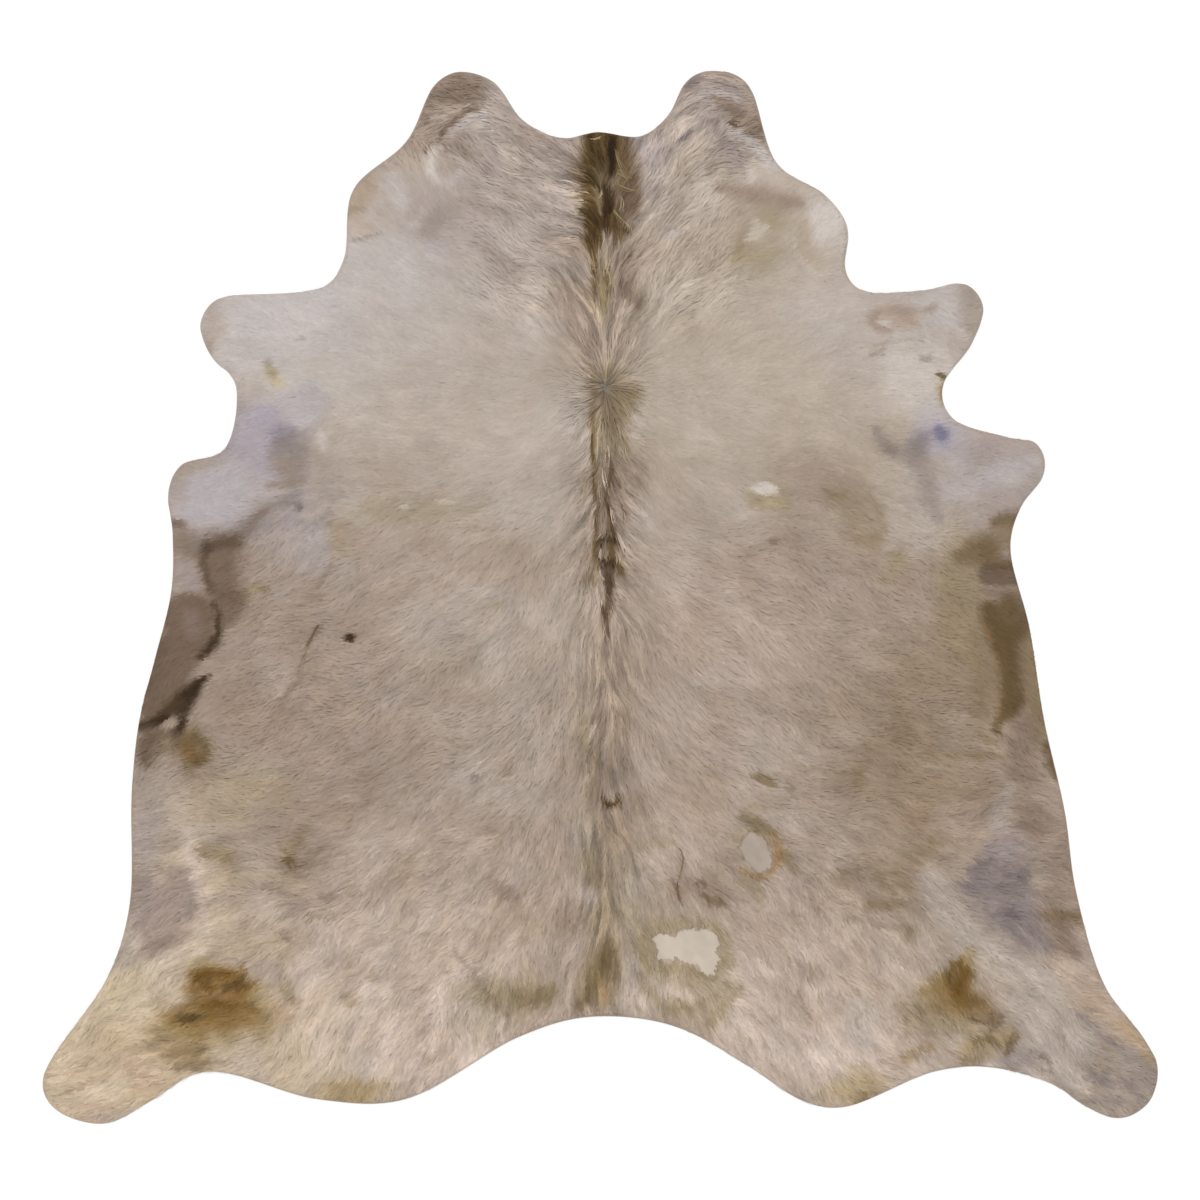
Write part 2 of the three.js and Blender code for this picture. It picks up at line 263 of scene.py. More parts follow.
# ------------------------------------------------------------ distinct markings
# The same columns, in the order in which they lie over one another.
MARKS = [
    # neck lobes
    ("left neck tip smudge", 462, 92, 22, 18, -10, "grey brown", 0.85, 0.9),
    ("left neck lobe, lower", 470, 160, 30, 22, 20, "smoke", 0.15, 1.1),
    ("right neck tip wash", 716, 100, 34, 26, 0, "mauve", 0.5, 1.1),
    ("right shoulder bright lobe", 826, 222, 26, 24, -35, "milk", 0.85, 1.0),
    ("right shoulder moss tint", 762, 248, 34, 36, 0, "pale olive", 0.3, 1.2),
    ("right shoulder faint spot", 743, 264, 7, 6, 0, "warm cream", 0.7, 0.8),
    # spine stripe, top
    ("stripe blond run", 604, 292, 6, 34, 0, "blond", 0.7, 0.8),
    # whorl and upper stripe
    ("whorl halo", 613, 386, 20, 22, 0, "moss", 0.6, 1.0),
    ("whorl fan", 626, 404, 12, 20, -20, "olive", 0.5, 1.1),
    ("whorl shade", 606, 390, 8, 10, 10, "smoke", 0.4, 1.1),
    ("whorl centre", 605, 387, 3.2, 5, 10, "slate", 0.5, 0.8),
    ("stripe under whorl", 612, 418, 20, 24, 0, "olive", 0.7, 1.1),
    # the curl on the spine
    ("curl halo", 607, 558, 16, 18, 0, "olive", 0.6, 0.9),
    ("curl side spot", 589, 580, 7, 8, 20, "olive", 0.85, 0.8),
    # spine, lower half
    ("spine grey, below curl", 606, 680, 11, 60, 0, "flank taupe", 0.5, 1.1),
    ("spine streak left", 586, 735, 4, 26, 5, "pale olive", 0.5, 1.0),
    ("spine knot", 596, 720, 8, 10, 0, "grey brown", 0.5, 1.0),
    ("spine streaks above smile", 597, 762, 4, 16, -3, "olive", 0.6, 0.8),
    ("spine streak right of it", 608, 768, 3, 14, -10, "olive", 0.5, 0.8),
    ("smile light spot", 609, 793, 5, 3, 0, "warm cream", 0.45, 0.8),
    # right foreleg and elbow
    ("right foreleg tip grey", 968, 300, 14, 16, 0, "leg grey", 0.5, 1.0),
    # right belly edge
    ("right belly moss", 962, 600, 26, 64, 0, "moss", 0.6, 1.2),
    ("stripe middle", 608, 450, 13, 34, 0, "pale olive", 0.7, 0.9),
    ("stripe middle, low", 608, 500, 12, 44, 0, "grey brown", 0.75, 1.0),
    # right back scars and spots
    ("right back moss rim", 769, 496, 24, 17, 0, "pale olive", 0.7, 0.9),
    ("right back scar, upper", 764, 488, 15, 6.5, -8, "milk", 0.8, 0.6),
    ("right back scar, lower", 774, 503, 10, 4.5, 0, "straw", 0.6, 0.7),
    ("right back light spot", 834, 512, 7, 6, 0, "warm cream", 0.85, 0.7),
    ("right back light spot, low", 863, 531, 7, 5, 0, "warm cream", 0.8, 0.7),
    ("right back moss spot", 898, 561, 10, 9, 0, "pale olive", 0.7, 0.9),
    ("right back moss spot, low", 887, 577, 8, 6, 0, "pale olive", 0.6, 0.9),
    ("right back brown fleck", 774, 542, 6, 4, 0, "grey brown", 0.7, 0.8),
    # left foreleg, elbow
    ("left foreleg tip shade", 212, 328, 12, 26, 0, "rose taupe", 0.55, 1.0),
    ("left foreleg tip brown", 210, 348, 4, 10, -10, "flank taupe", 0.5, 1.0),
    ("left foreleg dot", 302, 340, 4, 2.5, 0, "smoke", 0.4, 0.8),
    ("left foreleg straw mark", 274, 376, 7, 13, 28, "straw", 0.6, 1.1),
    ("left foreleg tan mark", 271, 370, 5, 9, 28, "pale olive", 0.5, 1.1),
    ("left foreleg grey mark", 268, 361, 5, 5, 0, "smoke", 0.35, 1.1),
    ("left elbow lilac", 256, 444, 34, 42, 30, "lilac", 0.75, 1.1),
    ("left elbow blue", 280, 437, 14, 10, 20, "violet", 0.7, 1.1),
    ("left elbow blue, left", 258, 415, 18, 12, 30, "lilac", 0.7, 1.0),
    ("left elbow brown patch", 293, 456, 23, 25, 10, "smoke", 0.8, 0.9),
    ("left elbow dot", 299, 506, 4, 5, 0, "smoke", 0.8, 0.8),
    ("left elbow lobe", 215, 498, 44, 32, 10, "lilac white", 0.95, 1.0),
    ("left elbow lobe edge", 183, 480, 10, 24, 0, "leg grey", 0.4, 1.0),
    # left belly edge
    ("left belly pale tufts", 272, 556, 24, 18, 0, "cream grey", 0.3, 1.1),
    ("left belly black spot", 350, 638, 6.5, 4, 18, "black brown", 0.95, 0.6),
    ("left belly foot field", 182, 742, 26, 17, 0, "olive", 0.75, 0.9),
    # left back
    ("left back moss band", 412, 510, 66, 13, 2, "pale olive", 0.45, 1.1),
    ("left back scar", 446, 502, 11, 2.6, -4, "scar cream", 0.85, 0.6),
    ("left back light spot", 403, 507, 5, 3, 0, "scar cream", 0.7, 0.6),
    ("left back moss spot", 499, 605, 8, 4, 0, "pale olive", 0.5, 0.9),
    ("left back swirl", 338, 538, 14, 18, 30, "pale olive", 0.45, 1.0),
    # lower right
    ("lower right olive spot", 764, 780, 13, 5, -20, "olive", 0.95, 0.6),
    ("lower right fleck", 791, 787, 5, 4, 0, "grey brown", 0.7, 0.7),
    ("lower right fleck, far", 838, 790, 4, 4, 0, "grey brown", 0.75, 0.7),
    ("lower right curved mark", 861, 780, 6, 10, 20, "olive", 0.6, 0.8),
    ("lower right curved mark, far", 893, 776, 5, 8, 30, "grey brown", 0.55, 0.8),
    ("right rump cool", 860, 1022, 24, 28, 0, "cream grey", 0.75, 1.1),
    ("right rump golden", 854, 1088, 30, 15, 10, "pale golden", 0.6, 1.1),
    ("right rump golden, dark", 866, 1096, 12, 6, 10, "olive", 0.7, 0.8),
    ("right rump blue edge", 810, 1096, 12, 5, -25, "leg grey", 0.5, 0.9),
    ("rump moss, far right", 980, 960, 14, 8, 0, "leg cream", 0.3, 1.0),
    # lower left
    ("left flank straw", 236, 790, 52, 26, 5, "straw", 0.35, 1.3),
    ("left grey spot, right", 351, 998, 10, 8, 0, "olive", 0.45, 1.0),
    ("left rump golden edge", 352, 1092, 32, 12, 0, "pale golden", 0.75, 0.9),
    ("left leg peach tip", 90, 1112, 26, 12, 0, "peach", 0.6, 1.0),
    ("centre mark, left", 476, 777, 6, 4, 0, "smoke", 0.8, 0.7),
    ("centre mark, right", 509, 771, 8, 5, 0, "grey brown", 0.5, 0.8),
    ("left rump moss", 520, 997, 38, 15, 5, "pale olive", 0.85, 1.0),
    ("left rump moss, dark", 536, 997, 18, 9, 10, "olive", 0.85, 0.9),
]

# Narrow markings: points across, down and half width, colour, amount, softness.
STROKES = [
    # left elbow and belly edge
    ("left elbow bar", [(268, 484, 4), (285, 484, 5), (302, 481, 4)], "grey brown", 0.55, 1.7),
    ("left elbow patch, warm", [(278, 464, 9), (292, 468, 10)], "flank taupe", 0.6, 1.7),
    ("left elbow light tuft", [(322, 434, 4), (323, 446, 5)], "milk", 0.5, 1.8),
    # Painted shade: darker bands along the crease of the left elbow.
    ("left elbow crease shade", [(296, 496, 5), (284, 501, 6), (268, 511, 8), (255, 524, 9), (240, 533, 10), (222, 540, 10), (205, 543, 9), (188, 541, 9)], "smoke", 0.7, 2.0),
    ("left elbow crease shade, dark", [(268, 509, 1.6), (260, 516, 4), (248, 528, 5), (234, 537, 5)], "belly brown", 0.45, 2.0),
    ("left elbow dark dot", [(298, 504, 3), (301, 508, 3)], "dark smoke", 0.6, 1.4),
    ("left belly edge tip", [(175, 522, 5), (182, 524, 4)], "brown", 0.75, 1.6),
    ("left belly edge tan", [(180, 540, 12), (190, 551, 14)], "grey brown", 0.65, 1.4),
    ("left belly mauve block", [(184, 570, 12), (191, 582, 11)], "mauve", 0.75, 0.8),
    ("left belly patch", [(225, 553, 20), (222, 568, 20), (227, 586, 19)], "brown", 0.8, 1.0),
    ("left belly patch, fade", [(246, 556, 10), (248, 572, 11), (250, 586, 9)], "flank taupe", 0.6, 1.8),
    ("left belly patch top", [(208, 549, 5), (215, 546, 5), (234, 541, 6)], "belly dark", 0.45, 1.6),
    ("left belly patch side", [(207, 547, 6), (203, 560, 4), (206, 574, 4), (211, 590, 4.5)], "belly dark", 0.55, 1.6),
    ("left belly straw corner", [(246, 594, 5), (254, 588, 5), (264, 589, 3)], "pale olive", 0.8, 1.8),
    ("left belly straw corner, dark", [(261, 589, 2.5), (266, 589, 2.5)], "olive", 0.8, 1.6),
    ("left belly straw streak", [(250, 592, 3), (246, 600, 3), (238, 612, 3)], "pale olive", 0.6, 1.8),
    ("left belly field", [(184, 617, 24), (192, 616, 23), (188, 634, 24), (178, 654, 22), (170, 674, 20), (162, 694, 20), (155, 706, 16)], "brown", 0.9, 0.4),
    ("left belly field fringe", [(226, 602, 13), (238, 602, 11), (228, 618, 9)], "brown", 0.75, 1.5),
    ("left belly field glow", [(190, 617, 9), (192, 630, 9)], "mauve", 0.25, 1.4),
    ("left belly field edge", [(160, 650, 9), (153, 668, 10), (146, 690, 10)], "belly brown", 0.6, 1.4),
    ("left belly field foot", [(196, 666, 8), (186, 678, 8)], "grey brown", 0.25, 1.6),
    ("left belly dark wedge, fill", [(170, 706, 8), (184, 695, 6)], "stripe", 0.45, 1.6),
    ("left belly border", [(214, 604, 2), (218, 614, 3.4), (219, 630, 4.4), (215, 642, 5.2), (206, 652, 4.4), (199, 659, 2.6)], "belly dark", 0.85, 2.0),
    ("left belly border core", [(218, 618, 2), (217, 636, 3.5), (211, 647, 3.5), (202, 656, 2)], "black brown", 0.6, 1.4),
    ("left belly stroke", [(208, 677, 2.5), (198, 684, 5.5), (190, 694, 8.5), (184, 703, 9), (182, 713, 7), (181, 722, 5), (177, 732, 4.5)], "belly dark", 0.9, 1.3),
    ("left belly stroke core", [(206, 678, 1.6), (198, 685, 3.5), (190, 695, 5.5), (184, 704, 6), (178, 709, 4)], "black brown", 0.9, 1.4),
    ("left belly stroke foot", [(182, 720, 3), (177, 731, 4.5)], "black brown", 0.75, 1.4),
    ("left belly branch", [(182, 706, 6), (172, 709, 5), (162, 715, 5)], "belly dark", 0.9, 1.3),
    ("left belly branch foot", [(165, 717, 5), (153, 722, 6.5), (140, 727, 6)], "belly dark", 0.9, 1.3),
    ("left belly branch core", [(165, 717, 3), (156, 722, 5), (144, 726, 4)], "black brown", 0.75, 1.4),
    ("left belly light spot", [(168, 723, 4.5), (172, 721, 4.5)], "flank taupe", 0.9, 1.0),
    ("left belly foot", [(150, 736, 11), (148, 748, 13), (146, 760, 9)], "belly brown", 0.95, 1.5),
    ("left belly foot, right", [(158, 733, 5), (172, 734, 5), (178, 742, 6)], "belly brown", 0.8, 1.6),
    ("left belly golden spot", [(188, 742, 8), (190, 752, 10), (196, 757, 8)], "chestnut", 0.95, 1.4),
    ("left belly golden spot, brown", [(186, 746, 5), (191, 756, 5)], "chestnut", 0.5, 1.6),
    ("left belly golden spot, rim", [(196, 736, 5), (206, 744, 5), (206, 754, 5), (196, 762, 5), (186, 763, 4)], "dark olive", 0.7, 1.5),
    ("left belly golden spot, tail", [(187, 765, 5), (191, 773, 4)], "olive", 0.8, 1.6),
    ("left belly scar, top", [(322, 620, 1.6), (315, 632, 2.4), (307, 648, 2.2)], "brown", 0.4, 1.8),
    ("left belly scar, middle", [(305, 654, 2), (300, 666, 2.6), (299, 676, 3), (288, 696, 4)], "grey brown", 0.5, 1.8),
    ("left belly scar, low", [(290, 688, 3), (282, 706, 4), (272, 722, 3), (262, 745, 3)], "grey brown", 0.4, 1.8),
    ("left belly tuft streak", [(346, 520, 3), (336, 542, 3), (330, 560, 2.5)], "tan", 0.5, 1.6),
    ("left belly tuft streak, low", [(330, 565, 2), (324, 578, 2.4), (318, 588, 2)], "grey brown", 0.5, 1.6),
    # spine stripe, top
    ("stripe shadow", [(590, 140, 10), (584, 165, 13), (584, 190, 12), (588, 222, 6)], "olive", 0.7, 1.5),
    ("stripe right shade", [(622, 142, 11), (625, 165, 12), (628, 186, 12), (626, 206, 12)], "olive brown", 0.85, 1.4),
    ("stripe right lobe", [(626, 190, 8), (630, 200, 10), (629, 210, 9)], "brown", 0.85, 1.3),
    ("stripe left band", [(595, 130, 12), (594, 160, 12), (592, 200, 11), (594, 225, 10), (595, 244, 6)], "stripe", 0.95, 0.9),
    ("stripe left band, olive", [(600, 133, 6), (598, 150, 6), (594, 175, 4), (594, 200, 3)], "dark olive", 0.6, 1.6),
    ("stripe right band", [(609, 131, 10), (610, 150, 9), (610, 168, 8)], "stripe", 0.95, 1.0),
    ("stripe right band, low", [(607, 191, 7), (608, 212, 9), (608, 226, 7)], "stripe", 0.95, 1.0),
    ("stripe gap", [(604, 176, 6), (612, 181, 7), (620, 184, 5)], "olive", 0.75, 1.6),
    ("stripe dark core, top", [(611, 140, 4), (609, 160, 5), (609, 172, 6)], "black brown", 0.7, 1.5),
    ("stripe dark core", [(607, 190, 6), (606, 203, 8), (606, 216, 7), (607, 228, 4)], "black brown", 0.9, 1.3),
    ("stripe light middle", [(603, 163, 2.4), (600, 180, 3.4), (598, 196, 3), (600, 212, 2)], "olive", 0.75, 1.5),
    ("stripe foot", [(612, 222, 7), (620, 228, 7), (627, 230, 4)], "stripe", 0.85, 1.3),
    ("stripe foot tip", [(620, 238, 5), (612, 244, 3)], "dark olive", 0.7, 1.6),
    ("stripe narrow line", [(589, 236, 6), (592, 250, 4.5), (594, 264, 3), (595, 282, 2.6), (596, 300, 1.6)], "stripe", 0.95, 1.4),
    ("stripe side rust", [(580, 166, 3), (580, 182, 3)], "rust", 0.35, 1.8),
    ("olive run under the stripe", [(603, 268, 4), (605, 280, 6), (603, 298, 6), (601, 314, 4)], "pale olive", 0.75, 1.6),
    ("olive run core", [(605, 274, 2.5), (607, 284, 2.5), (610, 293, 2)], "dark olive", 0.8, 1.6),
    ("olive run, left", [(594, 284, 3), (590, 297, 3.5), (592, 310, 2.5)], "pale olive", 0.65, 1.8),
    ("side streak", [(620, 276, 3), (622, 288, 4.5), (628, 297, 6), (638, 304, 6)], "grey brown", 0.9, 1.5),
    ("right neck fleck", [(677, 141, 2), (684, 137, 3), (691, 132, 2)], "dark smoke", 0.7, 1.4),
    # left neck lobe and shoulder
    ("left neck tip streak", [(474, 86, 4), (468, 96, 5), (456, 104, 4)], "grey brown", 0.7, 1.6),
    ("left neck edge", [(434, 92, 5), (430, 108, 5), (424, 124, 5)], "grey brown", 0.5, 1.8),
    # Painted shadow: the brown line along the fold in the left neck.
    ("left neck crease shadow", [(424, 152, 1), (436, 140, 1.8), (446, 128, 3.2), (456, 119, 3), (468, 112, 2), (480, 108, 1.4)], "brown", 0.75, 1.8),
    ("left neck crease shadow, tufts", [(448, 132, 3), (458, 126, 3.5), (468, 119, 3.5), (480, 115, 3.5)], "pale lilac", 0.65, 1.9),
    ("left neck crease shadow, far tuft", [(484, 110, 2), (488, 116, 3), (484, 122, 2)], "pale lilac", 0.7, 1.6),
    ("left neck smoke, upper", [(458, 140, 5), (470, 134, 6), (484, 136, 5)], "smoke", 0.55, 1.8),
    ("left neck smoke, middle", [(448, 146, 6), (462, 146, 7), (470, 155, 5)], "grey brown", 0.55, 1.9),
    ("left neck smoke, right", [(492, 146, 5), (496, 160, 6), (488, 170, 5)], "mauve", 0.7, 1.8),
    ("left neck white streak", [(434, 148, 4), (431, 158, 5), (431, 170, 5), (436, 180, 4)], "milk", 0.7, 1.9),
    ("left neck white hook", [(438, 150, 1.5), (447, 146, 1.5)], "milk", 0.5, 1.5),
    ("left neck white foot", [(438, 183, 4), (450, 182, 5), (462, 172, 4)], "pale lilac", 0.6, 1.9),
    ("left neck mauve run", [(474, 198, 8), (458, 208, 9), (440, 220, 11), (426, 232, 9)], "leg grey", 0.55, 1.9),
    ("left neck smoke spot", [(438, 214, 8), (430, 230, 9)], "smoke", 0.25, 1.9),
    ("left neck dim edge", [(420, 200, 7), (408, 215, 7)], "mauve", 0.35, 1.8),
    ("left shoulder white streak", [(390, 180, 7), (396, 192, 8), (400, 206, 7)], "pale lilac", 0.7, 1.8),
    ("left shoulder tan edge", [(366, 186, 8), (360, 198, 9), (356, 210, 8)], "tan", 0.5, 1.9),
    ("left shoulder olive edge", [(362, 208, 4), (352, 212, 4)], "pale olive", 0.5, 1.8),
    ("left shoulder peach", [(354, 226, 9), (366, 226, 8)], "peach", 0.4, 1.8),
    ("left shoulder line", [(352, 241, 1.2), (366, 238, 1.6), (380, 232, 1.2)], "grey brown", 0.5, 1.8),
    ("left shoulder pink fleck", [(484, 247, 4), (492, 250, 3)], "rose taupe", 0.6, 1.5),
    ("left shoulder lilac fleck", [(425, 242, 4), (440, 246, 4)], "lilac white", 0.5, 1.8),
    # right neck lobe and shoulder
    ("right neck tip grey", [(686, 88, 4), (692, 82, 6), (700, 77, 4)], "dark smoke", 0.7, 1.6),
    ("right neck brown patch", [(718, 100, 4), (728, 107, 6), (736, 116, 7)], "grey brown", 0.85, 1.7),
    ("right neck brown field", [(740, 114, 6), (750, 122, 8), (760, 128, 8)], "grey brown", 0.85, 1.5),
    ("right neck brown foot", [(746, 131, 2.5), (755, 136, 3), (763, 139, 3)], "brown", 0.6, 1.6),
    ("right neck dark dots", [(732, 122, 2.6), (737, 126, 2.6)], "black brown", 0.85, 1.2),
    ("right neck dark dot, left", [(715, 119, 3), (718, 121, 2)], "dark smoke", 0.6, 1.5),
    ("right neck dim streak", [(722, 132, 6), (730, 146, 8), (738, 160, 8)], "mauve", 0.8, 1.8),
    ("right neck mauve fleck", [(714, 162, 3), (712, 172, 4)], "grey brown", 0.6, 1.8),
    ("right neck pale edge", [(736, 132, 4), (750, 142, 6), (764, 154, 7), (774, 168, 6)], "pale lilac", 0.75, 1.9),
    ("right neck pale streak", [(752, 166, 4), (752, 184, 3)], "milk", 0.5, 1.9),
    ("right neck pale tufts", [(700, 96, 3), (716, 92, 3), (734, 96, 3)], "pale lilac", 0.5, 1.8),
    ("right neck dim tufts", [(704, 88, 2.5), (722, 84, 2.5), (738, 90, 2.5)], "mauve", 0.7, 1.6),
    ("right shoulder brown band", [(720, 188, 5), (742, 193, 8), (762, 197, 11), (780, 201, 10), (800, 204, 6)], "flank taupe", 0.95, 1.9),
    ("right shoulder moss, upper", [(764, 210, 8), (778, 222, 11)], "pale olive", 0.55, 1.8),
    ("right shoulder moss, lower", [(744, 256, 9), (762, 262, 10), (776, 250, 9)], "pale olive", 0.55, 1.9),
    ("right shoulder moss, left", [(738, 244, 4), (734, 262, 6)], "moss", 0.35, 1.8),
    ("right shoulder star, body", [(756, 222, 4), (758, 230, 7), (756, 236, 6)], "scar cream", 1.0, 0.7),
    ("right shoulder star, rays", [(748, 238, 3.5), (757, 231, 4), (766, 227, 4)], "scar cream", 1.0, 0.7),
    ("right shoulder faint spot, right", [(768, 250, 5), (778, 244, 4)], "warm cream", 0.4, 1.6),
    # Painted highlight: a pale line along the crease of the right shoulder.
    ("right shoulder crease highlight", [(794, 240, 1.4), (797, 254, 1.8), (806, 266, 1.8), (817, 273, 1.4)], "milk", 0.55, 1.6),
    ("right shoulder tan patch", [(802, 232, 8), (806, 250, 10), (814, 260, 8)], "tan", 0.25, 1.9),
    ("right shoulder tan spot", [(803, 224, 6), (806, 234, 6)], "tan", 0.3, 1.9),
    ("right shoulder lilac fleck", [(666, 236, 3), (678, 233, 4)], "lilac", 0.4, 1.8),
    ("spine side patch", [(640, 240, 7), (648, 254, 8), (652, 270, 6)], "rose taupe", 0.6, 1.8),
    ("spine side patch, upper", [(648, 192, 6), (660, 186, 6)], "mauve", 0.7, 1.8),
    # right foreleg and elbow
    ("right foreleg patch", [(876, 320, 9), (890, 317, 12), (906, 316, 12), (914, 320, 8)], "rose taupe", 0.9, 1.3),
    ("right foreleg patch, dark", [(892, 309, 4), (902, 312, 5), (910, 319, 5)], "flank taupe", 0.6, 2.0),
    ("right foreleg patch, ring", [(880, 313, 4), (873, 319, 4.4), (876, 328, 4), (888, 330, 4)], "flank taupe", 0.6, 2.0),
    ("right foreleg light spot", [(882, 320, 4), (887, 322, 4)], "milk", 0.6, 1.4),
    ("right foreleg light spot, far", [(916, 318, 3), (922, 321, 3)], "scar cream", 0.5, 1.6),
    ("right foreleg fleck", [(926, 310, 3), (934, 307, 4)], "flank taupe", 0.7, 1.6),
    # Painted shade: darker lines along the crease across the right foreleg.
    ("right foreleg crease shade", [(866, 347, 1.6), (878, 344, 2), (898, 341, 1.6), (914, 339, 1.4)], "flank taupe", 0.4, 2.0),
    ("right foreleg crease shade, low", [(868, 354, 2), (876, 351, 2.6), (884, 349, 2)], "grey brown", 0.4, 2.0),
    ("right foreleg dot", [(922, 359, 3.4), (929, 359, 3)], "smoke", 0.55, 1.8),
    ("right foreleg dot, upper", [(920, 338, 3), (922, 342, 2)], "smoke", 0.2, 1.8),
    ("right foreleg edge mark", [(937, 374, 2), (942, 378, 3), (946, 381, 3)], "dark olive", 0.85, 1.4),
    ("right foreleg golden edge", [(944, 384, 4), (942, 393, 5), (943, 403, 4)], "pale golden", 0.8, 1.8),
    ("right foreleg golden rim", [(943, 388, 2), (942, 398, 2)], "golden", 0.6, 1.6),
    ("right foreleg tip shade", [(972, 298, 8), (978, 312, 8), (974, 328, 7)], "leg grey", 0.5, 1.8),
    ("right elbow glow", [(934, 420, 18), (950, 436, 22), (958, 450, 18)], "lilac white", 0.75, 1.6),
    ("right elbow lilac", [(926, 440, 14), (944, 438, 14)], "lilac", 0.7, 1.6),
    ("right elbow blue", [(938, 430, 6), (942, 435, 7)], "blue", 0.85, 1.5),
    ("right elbow blue, left", [(924, 438, 7), (918, 446, 8)], "dark smoke", 0.5, 1.9),
    ("right elbow wisp", [(875, 428, 3), (880, 438, 6), (888, 447, 8), (900, 452, 8), (916, 452, 9)], "smoke", 0.65, 1.9),
    ("right elbow wisp, dark", [(886, 446, 4), (894, 450, 4)], "grey brown", 0.5, 1.8),
    ("right elbow shade", [(916, 458, 9), (924, 474, 9), (930, 492, 9), (934, 508, 8), (938, 520, 6)], "smoke", 0.5, 1.8),
    ("right elbow lobe", [(968, 452, 14), (1000, 450, 12), (1026, 452, 12)], "mauve", 0.45, 1.6),
    ("right elbow lobe, bright", [(952, 490, 12), (978, 484, 12), (1002, 472, 10), (1028, 464, 8)], "lilac white", 0.6, 1.8),
    ("right elbow lobe, low edge", [(1034, 478, 6), (1024, 494, 6)], "mauve", 0.6, 1.8),
    ("right elbow lobe foot", [(996, 524, 5), (1006, 521, 8), (1016, 520, 9)], "olive brown", 0.75, 1.9),
    # right belly edge
    ("right belly olive, top", [(1008, 530, 10), (1002, 542, 14), (984, 552, 17)], "olive", 0.75, 1.6),
    ("right belly olive, dark", [(960, 556, 7), (974, 552, 11), (986, 547, 12)], "olive brown", 0.55, 1.7),
    ("right belly pale fleck", [(1006, 553, 3), (1009, 563, 3)], "mauve", 0.7, 1.6),
    ("right belly block", [(987, 574, 10.5), (1000, 574, 11), (1014, 574, 12)], "belly brown", 0.9, 0.6),
    ("right belly block, top", [(992, 562, 8), (1008, 564, 8)], "olive brown", 0.5, 1.7),
    ("right belly pink band", [(982, 591, 5), (1000, 591, 5), (1018, 593, 5)], "grey brown", 0.85, 1.1),
    ("right belly dark, right", [(1008, 606, 13), (1012, 622, 16), (1012, 640, 16), (1014, 661, 14)], "olive brown", 0.7, 0.9),
    ("right belly edge brown", [(1022, 606, 8), (1026, 622, 8), (1024, 640, 6)], "belly brown", 0.7, 1.6),
    ("right belly dark, left", [(989, 608, 9), (992, 620, 11), (996, 633, 12), (1003, 646, 12)], "olive brown", 0.9, 1.2),
    ("right belly dark, main", [(1008, 640, 15), (1011, 658, 15), (1013, 680, 14), (1014, 698, 14), (1009, 711, 10)], "olive brown", 0.92, 1.0),
    ("right belly fringe", [(1022, 646, 6), (1026, 668, 7), (1028, 686, 6)], "grey brown", 0.6, 1.7),
    ("right belly dark streak", [(1012, 606, 3), (1004, 622, 5), (1001, 640, 5), (1005, 660, 5), (1010, 684, 5), (1006, 706, 5)], "dark olive", 0.6, 1.6),
    ("right belly point", [(1004, 714, 7), (998, 724, 4.5), (997, 730, 4), (1002, 735, 2)], "dark olive", 0.85, 1.3),
    ("right belly rust", [(983, 622, 2), (987, 632, 3.5), (992, 641, 3)], "rust", 0.45, 1.8),
    ("right belly rust, low", [(996, 654, 2.5), (997, 676, 3), (998, 700, 3), (1000, 712, 2)], "rust", 0.4, 1.8),
    ("right belly moss shade", [(976, 640, 9), (984, 664, 12), (986, 690, 12), (980, 712, 9)], "olive", 0.6, 1.7),
    ("right belly dark, fill", [(1008, 604, 8), (1018, 622, 9), (1016, 642, 7)], "olive brown", 0.5, 1.6),
    ("right thigh upper edge, olive", [(1028, 722, 6), (1040, 748, 7)], "olive", 0.35, 1.7),
    ("right belly moss streak", [(970, 650, 2), (976, 662, 3), (983, 672, 2)], "olive", 0.6, 1.6),
    ("right belly moss streak, low", [(976, 690, 2), (978, 702, 3), (986, 714, 2)], "olive", 0.4, 1.8),
    ("right belly foot", [(978, 732, 2.5), (986, 738, 3), (998, 743, 2)], "olive", 0.7, 1.6),
    ("right belly foot line", [(930, 757, 4), (965, 757, 5), (1008, 756, 3)], "moss", 0.5, 1.8),
    ("right belly fleck, far", [(926, 750, 3), (935, 753, 2)], "olive", 0.6, 1.6),
    ("right belly edge strip", [(1032, 640, 8), (1034, 668, 9), (1037, 700, 10), (1040, 730, 11)], "olive", 0.9, 1.6),
    ("right belly edge shade", [(1024, 728, 12), (1022, 745, 14), (1024, 775, 16)], "grey brown", 0.8, 1.7),
    ("right belly edge moss", [(1048, 746, 5), (1053, 766, 6), (1057, 776, 4)], "olive brown", 0.75, 1.8),
    ("right belly lilac streak", [(1012, 784, 4), (1004, 800, 7), (994, 822, 8)], "cool taupe", 0.5, 1.8),
    ("right belly mauve block", [(1020, 806, 8), (1024, 826, 12)], "grey brown", 0.5, 1.7),
    # right back
    ("right back moss patch", [(838, 494, 14), (852, 508, 20), (862, 524, 20), (868, 534, 14)], "olive", 0.5, 1.9),
    ("right back moss patch, dark", [(824, 488, 3), (834, 494, 4), (842, 492, 3)], "olive", 0.5, 1.8),
    ("right back moss patch, rim", [(868, 498, 4), (880, 512, 4), (884, 530, 4), (872, 542, 4), (856, 540, 3)], "olive", 0.4, 1.9),
    # left thigh
    ("left thigh mauve", [(180, 884, 16), (172, 906, 24), (160, 928, 22), (150, 945, 13)], "thigh mauve", 0.9, 1.0),
    ("left thigh mauve, corner", [(188, 886, 8), (200, 888, 5)], "thigh mauve", 0.9, 0.9),
    ("left thigh mauve, dark", [(194, 890, 3), (192, 906, 4), (188, 920, 3)], "smoke", 0.3, 1.8),
    ("left thigh mauve, low dark", [(184, 934, 5), (168, 940, 7), (152, 944, 6)], "grey brown", 0.5, 1.8),
